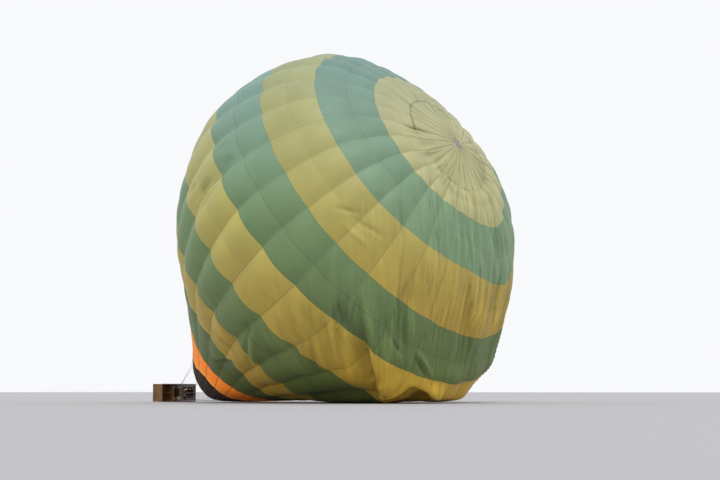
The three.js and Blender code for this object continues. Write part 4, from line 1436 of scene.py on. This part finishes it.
# %% Group: brushed metal
ALONG_X = (4.0, 60.0, 60.0)
DIRT_TONE = tone(60, 54, 48)
brushed, given, result = shader_group(
    "brushed_metal",
    [("Color", "Color", (0.5, 0.5, 0.5, 1)), ("Stretch", "Vector", ALONG_X), ("Roughness", "Float", 0.35),
     ("Dirt", "Float", 0.2)],
    [("Color", "Color"), ("Roughness", "Float"), ("Normal", "Vector")],
)
spot = object_place(brushed)
scratch = noise(brushed, stretched(brushed, spot, given["Stretch"]), scale=6.0, detail=4.0)
smear = noise(brushed, spot, scale=9.0, detail=4.0)
dirt = calc(brushed, "MULTIPLY", remap(brushed, smear, 0.45, 0.75), given["Dirt"])
color = brighter(brushed, given["Color"], remap(brushed, scratch, *MOST_NOISE, 0.88, 1.10))
feed(brushed, result["Color"], mixed(brushed, dirt, color, DIRT_TONE))
worn = calc(brushed, "MULTIPLY_ADD", calc(brushed, "SUBTRACT", scratch, 0.5), 0.25, given["Roughness"])
feed(brushed, result["Roughness"], calc(brushed, "MULTIPLY_ADD", dirt, 0.3, worn))
feed(brushed, result["Normal"], bumped(brushed, scratch, distance=0.0003, strength=0.35))
print("group", brushed.name, "has", len(brushed.nodes), "nodes")

# %% Metals
CAN_FOOT = 2.19
CAN_FOOT_X = BASKET_FOOT.x + CAN_FOOT
# Metres above a can's foot: where plain steel ends, where straw is full, where blue is full
STRAW_START, STRAW_FULL, BLUE_FULL = 0.12, 0.36, 0.52
STEEL, STRAW, BLUE = tone(168, 166, 162), tone(176, 142, 96), tone(88, 92, 122)


def metal_material(name, color, roughness, stretch, dirt=0.2, metallic=1.0, **terms):
    """A material whose metal comes from the group. color may be a value or a function of the tree."""
    made, tree = new_material(name, Metallic=metallic, **terms)
    base = color(tree) if callable(color) else tone(*color)
    finish = placed(tree, brushed, Color=base, Stretch=stretch, Roughness=roughness, Dirt=dirt)
    paint(tree, Base_Color=finish["Color"], Roughness=finish["Roughness"], Normal=finish["Normal"])
    return made


def heat_tint(tree):
    """Straw to blue bands round the open end of a can, plain steel below."""
    spot = object_place(tree)
    reach = calc(tree, "MULTIPLY_ADD", noise(tree, spot, scale=7.0, detail=2.0), 0.12, xyz(tree, spot)["X"])
    to_straw = remap(tree, reach, CAN_FOOT_X + STRAW_START, CAN_FOOT_X + STRAW_FULL)
    to_blue = remap(tree, reach, CAN_FOOT_X + STRAW_FULL, CAN_FOOT_X + BLUE_FULL)
    return mixed(tree, to_blue, mixed(tree, to_straw, STEEL, STRAW), BLUE)


stainless = metal_material("stainless_tube", (176, 178, 180), 0.32, ALONG_X)
bolt_steel = metal_material("bolt_steel", (150, 152, 156), 0.38, (40, 40, 40), 0.3)
galvanised = metal_material("galvanised_wire", (150, 153, 156), 0.45, (30, 30, 30), 0.15)
burner_tint = metal_material("burner_heat_tint", heat_tint, 0.34, (60, 8, 8), 0.25)
burner_alloy = metal_material("burner_alloy", (128, 130, 134), 0.42, (12, 12, 12), 0.45)
coil_steel = metal_material("coil_steel", (138, 118, 98), 0.4, (20, 20, 20), 0.4)
brass = metal_material("valve_brass", (190, 154, 84), 0.35, (30, 30, 30), 0.25)
cylinder_paint = metal_material("cylinder_paint", (196, 198, 196), 0.4, (2, 2, 2), 0.5, 0.0, Coat_Weight=0.2)
metals = (stainless, bolt_steel, galvanised, burner_tint, burner_alloy, coil_steel, brass, cylinder_paint)
print("metals:", [metal.name for metal in metals])

# %% [markdown]
# ## Burner
# Four burners stand side by side. Each is a thin steel can round a coil, and the flame inside the
# coil boils the liquid gas before it burns. The can is a turned shape with rolled edges. The coil is a
# spiral curve with a round section, and the jets are small nozzles on a ring at its foot.

# %% Turned shapes
def turned(profile, segments):
    """A closed profile of (radius, height) points turned round Z."""
    shape = bmesh.new()
    grid = []
    for i in range(segments):
        turn = 2 * math.pi * i / segments
        grid.append([shape.verts.new((r * math.cos(turn), r * math.sin(turn), z)) for r, z in profile])
    for here, ahead in zip(grid, grid[1:] + grid[:1]):
        for j in range(len(profile)):
            k = (j + 1) % len(profile)
            shape.faces.new((here[j], ahead[j], ahead[k], here[k]))
    bmesh.ops.remove_doubles(shape, verts=shape.verts, dist=1e-6)
    return shape


def turned_copies(name, profile, places, material, segments):
    """The same turned shape at several places of the basket's axes, as one piece."""
    whole = bmesh.new()
    for spot in places:
        single = turned(profile, segments)
        mesh = bpy.data.meshes.new("single")
        bmesh.ops.transform(single, matrix=spot, verts=single.verts)
        single.to_mesh(mesh)
        single.free()
        whole.from_mesh(mesh)
        bpy.data.meshes.remove(mesh)
    piece = finish_shape(whole, name, to_world)
    piece.data.materials.append(material)
    return piece


# %% Burner cans
CAN_RADIUS = 0.163
CAN_INNER = CAN_RADIUS - 0.003
CAN_HEIGHT = 0.47
LIP = 0.006
# Columns: CAD node, place across, place along
CANS = [("burner_can_1", -0.205, -0.205), ("burner_can_2", 0.205, -0.205), ("burner_can_3", 0.205, 0.205),
        ("burner_can_4", -0.205, 0.205)]
# Columns: radius, height. A bead runs round the can, and both ends are rolled
can_profile = [
    (CAN_RADIUS, LIP), (CAN_RADIUS, CAN_HEIGHT * 0.18),
    (CAN_RADIUS - 0.004, CAN_HEIGHT * 0.2), (CAN_RADIUS, CAN_HEIGHT * 0.22),
    (CAN_RADIUS, CAN_HEIGHT - 2 * LIP), (CAN_RADIUS + 0.002, CAN_HEIGHT - LIP),
    (CAN_RADIUS - 0.001, CAN_HEIGHT), (CAN_INNER - 0.003, CAN_HEIGHT - LIP),
    (CAN_INNER, CAN_HEIGHT - 2 * LIP), (CAN_INNER, LIP), (CAN_INNER, 0), (CAN_RADIUS + 0.001, 0),
]
print("a can's profile has", len(can_profile), "points")

# %% Coil tree
spiral_tree, given, result = geometry_tree(
    "coil", Turns=8.0, Coil_Radius=0.138, Height=0.36, Tube_Radius=0.009, Foot=0.06,
)
spiral = shaped(spiral_tree, "GeometryNodeCurveSpiral", Resolution=22, Rotations=given["Turns"],
                Start_Radius=given["Coil Radius"], End_Radius=given["Coil Radius"], Height=given["Height"])
coil = tube(spiral_tree, spiral, given["Tube Radius"], sides=8)
coil = moved(spiral_tree, coil, Translation=vector(spiral_tree, z=given["Foot"]))
end_tree(spiral_tree, given, result, coil)

# %% Jets tree
jets_tree, given, result = geometry_tree(
    "jets", Count=14, Ring_Radius=0.075, Pipe_Radius=0.008, Jet_Height=0.03, Foot=0.045,
)
ring_kind, ring_radius = "GeometryNodeCurvePrimitiveCircle", given["Ring Radius"]
ring = shaped(jets_tree, ring_kind, Resolution=36, Radius=ring_radius)
ring = tube(jets_tree, ring, given["Pipe Radius"], sides=8)
jet_spots = {"Curve": shaped(jets_tree, ring_kind, Resolution=given["Count"], Radius=ring_radius)}
jet_spots = add(jets_tree, "GeometryNodeCurveToPoints", jet_spots, mode="EVALUATED").outputs["Points"]
jet = shaped(jets_tree, "GeometryNodeMeshCone", Vertices=8, Radius_Top=0.003, Radius_Bottom=0.006,
             Depth=given["Jet Height"])
both = joined(jets_tree, ring, repeated(jets_tree, jet, jet_spots))
end_tree(jets_tree, given, result,
         moved(jets_tree, both, Translation=vector(jets_tree, z=given["Foot"])))

# %% Burners put together
for node, x, y in CANS:
    foot = moved_to(x, y, CAN_FOOT)
    can = turned_copies(f"{node}_shell", can_profile, [foot], burner_tint, 40)
    coil = grown(spiral_tree, f"{node}_coil", coil_steel, place=to_world @ foot)
    jets = grown(jets_tree, f"{node}_jets", brass, place=to_world @ foot)
    dress([can, coil, jets], "burner", "burner_steel", node)
print("one burner:", triangles(can) + triangles(coil) + triangles(jets), "triangles")

# %% [markdown]
# Under the cans the block carries a valve body for each burner, with a handle that opens it.
# They are small turned parts on the block's underside.

# %% Valves of the burner
BLOCK_FOOT = 2.13
# How far a handle's middle is below the block
HANDLE_DROP = 0.062
# Columns of both: radius, height
valve_profile = [(0.0, -0.075), (0.016, -0.075), (0.016, -0.055), (0.024, -0.05), (0.024, -0.015),
                 (0.032, -0.008), (0.032, 0.004), (0.0, 0.004)]
handle_profile = [(0.0, -0.006), (0.007, -0.006), (0.009, 0.0), (0.009, 0.10), (0.006, 0.108), (0.0, 0.108)]
valve_places = [moved_to(x, y, BLOCK_FOOT) for _, x, y in CANS]
handle_places = [
    moved_to(x, y, BLOCK_FOOT - HANDLE_DROP) @ Matrix.Rotation(math.copysign(math.pi / 2, -x), 4, "Y")
    for _, x, y in CANS
]
valves = turned_copies("burner_valves", valve_profile, valve_places, brass, 20)
handles = turned_copies("burner_handles", handle_profile, handle_places, bolt_steel, 14)
dress([valves, handles], "burner", "burner_steel")
print("valves:", triangles(valves) + triangles(handles), "triangles")

# %% [markdown]
# ## Bolts and wires
# Stainless bolts hold the bearings of the gimbal. The flying wires run from each corner of the load
# frame to the mouth, one for each load tape, and a snap hook joins each wire to its tape. The frame
# has twelve of them as solids, and one tree adds the others along straight lines.

# %% Bolt tree
def facing(tree, axis):
    """The rotation that turns an axis to each point's own direction."""
    way = add(tree, "GeometryNodeInputNamedAttribute", {"Name": "direction"}, data_type="FLOAT_VECTOR")
    turn = add(tree, "FunctionNodeAlignRotationToVector", {"Vector": way.outputs[0]}, axis=axis)
    return turn.outputs[0]


def directed_points(name, rows):
    """Points with a direction each, given in the basket's own axes."""
    piece = mesh_object(name, [point for point, _ in rows])
    layer = piece.data.attributes.new("direction", "FLOAT_VECTOR", "POINT")
    layer.data.foreach_set("vector", np.array([way for _, way in rows], np.float32).ravel())
    return piece


bolt_tree, given, result = geometry_tree("bolts", Head_Radius=0.012, Head_Height=0.008, Washer_Radius=0.018)
cylinder = "GeometryNodeMeshCylinder"
head = shaped(bolt_tree, cylinder, Vertices=6, Radius=given["Head Radius"], Depth=given["Head Height"])
washer = shaped(bolt_tree, cylinder, Vertices=20, Radius=given["Washer Radius"], Depth=0.003)
above = vector(bolt_tree, z=calc(bolt_tree, "MULTIPLY", given["Head Height"], 0.5))
single = joined(bolt_tree, washer, moved(bolt_tree, head, Translation=above))
bolts = repeated(bolt_tree, single, given["Base"], facing(bolt_tree, "Z"))
end_tree(bolt_tree, given, result, bolts, smooth=False)

# %% Bolts
FRAME_Z = 2.25
FRAME_BOLT, GIMBAL_BOLT, BLOCK_BOLT = 0.9275, 0.5815, 0.33
BOLT_GAP = 0.0015
thirds = (-BLOCK_BOLT, 0, BLOCK_BOLT)
# Columns: name of the piece, body, rows of place and direction
BOLTS = [
    ("frame_bolts", "envelope", [((0, side * FRAME_BOLT, FRAME_Z), (0, side, 0)) for side in SIDES]),
    ("gimbal_bolts", "gimbal", [((side * GIMBAL_BOLT, 0, FRAME_Z), (side, 0, 0)) for side in SIDES]),
    ("block_bolts", "burner", [((x, y, BLOCK_FOOT - BOLT_GAP), (0, 0, -1)) for x in thirds for y in thirds
                               if x or y]),
]
for name, body, rows in BOLTS:
    bolts = grown(bolt_tree, name, bolt_steel, base=directed_points(f"{name}_points", rows), place=to_world)
    dress([bolts], body, "frame_metal")
print("bolts:", sum(len(rows) for _, _, rows in BOLTS))

# %% Wires
WIRE_RADIUS = 0.006
WIRE_START_Z = 2.298
WIRE_STEP = 0.04
CORNER_X, CORNER_Y = 0.7, 0.9
# Columns: side across, side along, tapes of the wires that the frame's solids leave out
CORNERS = [(-1, -1, (-6, -4, -2, 0)), (1, -1, (2, 4, 6)), (1, 1, (7, 9, 11, 13)), (-1, 1, (15, 17, 19))]
wire_tree, given, result = geometry_tree("wires", Radius=WIRE_RADIUS)
end_tree(wire_tree, given, result, tube(wire_tree, base_curve(wire_tree, given), given["Radius"], sides=6))
to_basket = to_world.inverted()
ends = []
for side_x, side_y, tapes in CORNERS:
    for place_in_row, tape in enumerate(tapes):
        offset = (place_in_row - (len(tapes) - 1) / 2) * WIRE_STEP
        start = Vector((side_x * CORNER_X, side_y * CORNER_Y + offset, WIRE_START_Z))
        ends.append((start, to_basket @ Vector(cloth_point(LAST_RING - 0.001, tape))))
pairs = [(2 * i, 2 * i + 1) for i in range(len(ends))]
wire_lines = mesh_object("wire_lines", [end for pair in ends for end in pair], edges=pairs)
more_wires = grown(wire_tree, "more_flying_wires", galvanised, base=wire_lines, place=to_world)
dress([more_wires], "envelope", "wire")
print("more wires:", len(ends), "longest", round(max((b - a).length for a, b in ends), 2), "m")

# %% Snap hooks at the mouth
HOOK_LENGTH = 0.11
HOOK_WIDTH = 0.05
HOOK_RING = LAST_RING - 0.03
HOOK_CORNER, HOOK_SHIFT = 0.42, 0.4
hook_tree, given, result = geometry_tree("snap_hooks", Wire=0.005)
oblong = shaped(hook_tree, "GeometryNodeCurvePrimitiveQuadrilateral", Width=HOOK_LENGTH, Height=HOOK_WIDTH)
oblong = add(hook_tree, "GeometryNodeFilletCurve", {
    "Curve": oblong, "Radius": HOOK_WIDTH * HOOK_CORNER, "Count": 4,
}, mode="POLY").outputs[0]
hook = tube(hook_tree, oblong, given["Wire"], sides=6)
end_tree(hook_tree, given, result, repeated(hook_tree, hook, given["Base"], facing(hook_tree, "X")))
frame_corners = [Vector((side_x * CORNER_X, side_y * CORNER_Y, FRAME_Z)) for side_x, side_y, _ in CORNERS]
hook_rows = []
for tape in range(GORES):
    mouth_spot = to_basket @ Vector(cloth_point(HOOK_RING, tape))
    corner = min(frame_corners, key=lambda spot: (spot - mouth_spot).length)
    way = (corner - mouth_spot).normalized()
    hook_rows.append((mouth_spot + way * HOOK_LENGTH * HOOK_SHIFT, way))
hooks = grown(hook_tree, "snap_hooks", bolt_steel, base=directed_points("hook_points", hook_rows),
              place=to_world)
dress([hooks], "envelope", "wire")
print("snap hooks:", len(hook_rows), "with", triangles(hooks), "triangles")

# %% [markdown]
# ## Fuel cylinders
# Four gas cylinders stand in the middle bay. Each is a turned shell with a foot ring and a domed
# top. It has a guard ring round its valve, and two webbing straps, which are turned shapes too.

# %% Cylinders
CYLINDER_RADIUS = 0.185
CYLINDER_X, CYLINDER_Y = 0.55, 0.42
CYLINDER_FOOT, CYLINDER_TOP = 0.0763, 0.9753
DOME_HEIGHT, DOME_START = 0.125, 0.13
DOME_DEGREES = (0, 20, 40, 58, 72, 82)
SHELL_EDGE = math.radians(50)
STRAP_HEIGHTS, STRAP_HALF = (0.32, 0.70), 0.025
STRAP_INNER, STRAP_OUTER = CYLINDER_RADIUS + 0.0005, CYLINDER_RADIUS + 0.003
cylinder_spots = [moved_to(x * CYLINDER_X, y * CYLINDER_Y, 0) for x in SIDES for y in SIDES]


def raised(foot, rows):
    """A profile whose heights are counted from a foot."""
    return [(radius, foot + height) for radius, height in rows]


# Columns of all: radius, height over the foot or the top
shell_profile = raised(CYLINDER_FOOT, [
    (0.0, 0.045), (0.10, 0.035), (0.145, 0.02), (0.145, 0), (0.15, 0), (0.15, 0.03), (0.172, 0.055),
    (CYLINDER_RADIUS, 0.10),
])
guard_profile = raised(CYLINDER_TOP, [
    (0.105, -0.02), (0.11, -0.02), (0.11, 0.07), (0.112, 0.075), (0.108, 0.078), (0.105, 0.07),
])
tap_profile = raised(CYLINDER_TOP, [
    (0.0, -0.01), (0.02, -0.01), (0.02, 0.02), (0.012, 0.024), (0.012, 0.045), (0.034, 0.048),
    (0.034, 0.06), (0.0, 0.062),
])
strap_profile = [(STRAP_INNER, -STRAP_HALF), (STRAP_OUTER, -STRAP_HALF), (STRAP_OUTER, STRAP_HALF),
                 (STRAP_INNER, STRAP_HALF)]
for degrees in DOME_DEGREES:
    turn = math.radians(degrees)
    height = CYLINDER_TOP - DOME_START + DOME_HEIGHT * math.sin(turn)
    shell_profile.append((CYLINDER_RADIUS * math.cos(turn), height))
shell_profile.append((0.0, CYLINDER_TOP - 0.004))
shells = turned_copies("cylinder_shells", shell_profile, cylinder_spots, cylinder_paint, 48)
shells.data.set_sharp_from_angle(angle=SHELL_EDGE)
guards = turned_copies("cylinder_guards", guard_profile, cylinder_spots, cylinder_paint, 32)
taps = turned_copies("cylinder_taps", tap_profile, cylinder_spots, brass, 16)
straps = [
    turned_copies(f"cylinder_straps_{i + 1}", raised(height, strap_profile), cylinder_spots, lace_leather, 40)
    for i, height in enumerate(STRAP_HEIGHTS)
]
dress([guards, taps], "envelope", "fuel_metal")
dress([shells], "envelope", "fuel_metal", *[f"fuel_cylinder_{i + 1}" for i in range(4)])
dress(straps, "envelope", "upright_sleeve")
print("cylinders:", sum(map(triangles, [shells, guards, taps, *straps])), "triangles")

# %% [markdown]
# ## Wood
# The floor is plywood, with a face grain along the basket, and the runners under it are hardwood.
# Both are noise stretched along the grain.

# %% Wood finishes
SCUFF_TONE = tone(96, 80, 62)


def wood_material(name, dark, light, stretch, roughness, ring_scale):
    made, tree = new_material(name)
    spot = object_place(tree)
    grain = noise(tree, stretched(tree, spot, stretch), scale=3.0, detail=6.0, Distortion=0.6)
    rings = calc(tree, "FRACT", calc(tree, "MULTIPLY", grain, ring_scale))
    color = mixed(tree, remap(tree, rings, 0.0, 1.0), tone(*dark), tone(*light))
    scuff = remap(tree, noise(tree, spot, scale=5.0, detail=4.0), 0.5, 0.75, 0.0, 0.45)
    paint(tree, Base_Color=mixed(tree, scuff, color, SCUFF_TONE),
          Roughness=remap(tree, grain, *MOST_NOISE, roughness - 0.08, roughness + 0.1),
          Normal=bumped(tree, grain, distance=0.001, strength=0.4))
    return made


plywood = wood_material("floor_plywood", (150, 116, 76), (184, 150, 104), (14.0, 1.2, 14.0), 0.6, 5.0)
runner_wood = wood_material("runner_hardwood", (94, 68, 44), (136, 102, 66), (16.0, 16.0, 1.6), 0.68, 7.0)
print("wood finishes:", plywood.name, "and", runner_wood.name)

# %% Finishes of the frame's own nodes
# Columns: CAD nodes, material
NODE_FINISHES = [
    (["load_frame", "gimbal_ring"], stainless),
    (["burner_block"], burner_alloy),
    (["flying_wires_1", "flying_wires_2", "flying_wires_3", "flying_wires_4"], galvanised),
    (["basket_floor"], plywood),
    (["basket_runner_1", "basket_runner_2", "basket_runner_3"], runner_wood),
]
for names, finish in NODE_FINISHES:
    for name in names:
        nodes[name].data.materials.clear()
        nodes[name].data.materials.append(finish)
top_ring.data.materials.append(stainless)
print("finished nodes:", sum(len(names) for names, _ in NODE_FINISHES))

# %% [markdown]
# ## Floor and light
# The floor is plain and pale, and the sky is one even soft light, as on a hazy morning, with a broad
# weak lamp from above. Shadows stay soft, so the folds of the cloth carry the shading.

# %% Floor and light
FLOOR_REACH = 900
FLOOR_GAP = 0.002
FLOOR_COLOR = (0.44, 0.43, 0.445, 1)
SKY_COLOR = (0.97, 0.98, 1.0, 1)
SKY_LIGHT = 0.87
SKY_SEEN = 0.97
SUN_ENERGY = 1.35
SUN_SPREAD, SUN_TILT, SUN_TURN = math.radians(25), math.radians(30), math.radians(50)

floor_z = cad_box[0][2] - FLOOR_GAP
corners = [(-FLOOR_REACH, -FLOOR_REACH), (FLOOR_REACH, -FLOOR_REACH), (FLOOR_REACH, FLOOR_REACH),
           (-FLOOR_REACH, FLOOR_REACH)]
floor = mesh_object("floor", [(x, y, floor_z) for x, y in corners], [(0, 1, 2, 3)])
floor.data.materials.append(new_material("floor_pale", Base_Color=FLOOR_COLOR, Roughness=0.9)[0])

world = bpy.data.worlds.new("sky")
scene.world = world
world.use_nodes = True
sky_tree = world.node_tree
lighting = sky_tree.nodes["Background"]
lighting.inputs["Color"].default_value = SKY_COLOR
lighting.inputs["Strength"].default_value = SKY_LIGHT
seen = add(sky_tree, "ShaderNodeBackground", {"Color": SKY_COLOR, "Strength": SKY_SEEN})
seen_first = add(sky_tree, "ShaderNodeLightPath").outputs["Is Camera Ray"]
both_skies = add(sky_tree, "ShaderNodeMixShader", {0: seen_first, 1: lighting.outputs[0], 2: seen.outputs[0]})
feed(sky_tree, sky_tree.nodes["World Output"].inputs["Surface"], both_skies.outputs[0])
sun = bpy.data.lights.new("sun", "SUN")
sun.energy = SUN_ENERGY
sun.angle = SUN_SPREAD
sun_object = bpy.data.objects.new("sun", sun)
sun_object.rotation_euler = (SUN_TILT, 0, SUN_TURN)
scene.collection.objects.link(sun_object)
scene.view_settings.view_transform = "Standard"
print("floor at", round(floor_z, 3), "m")
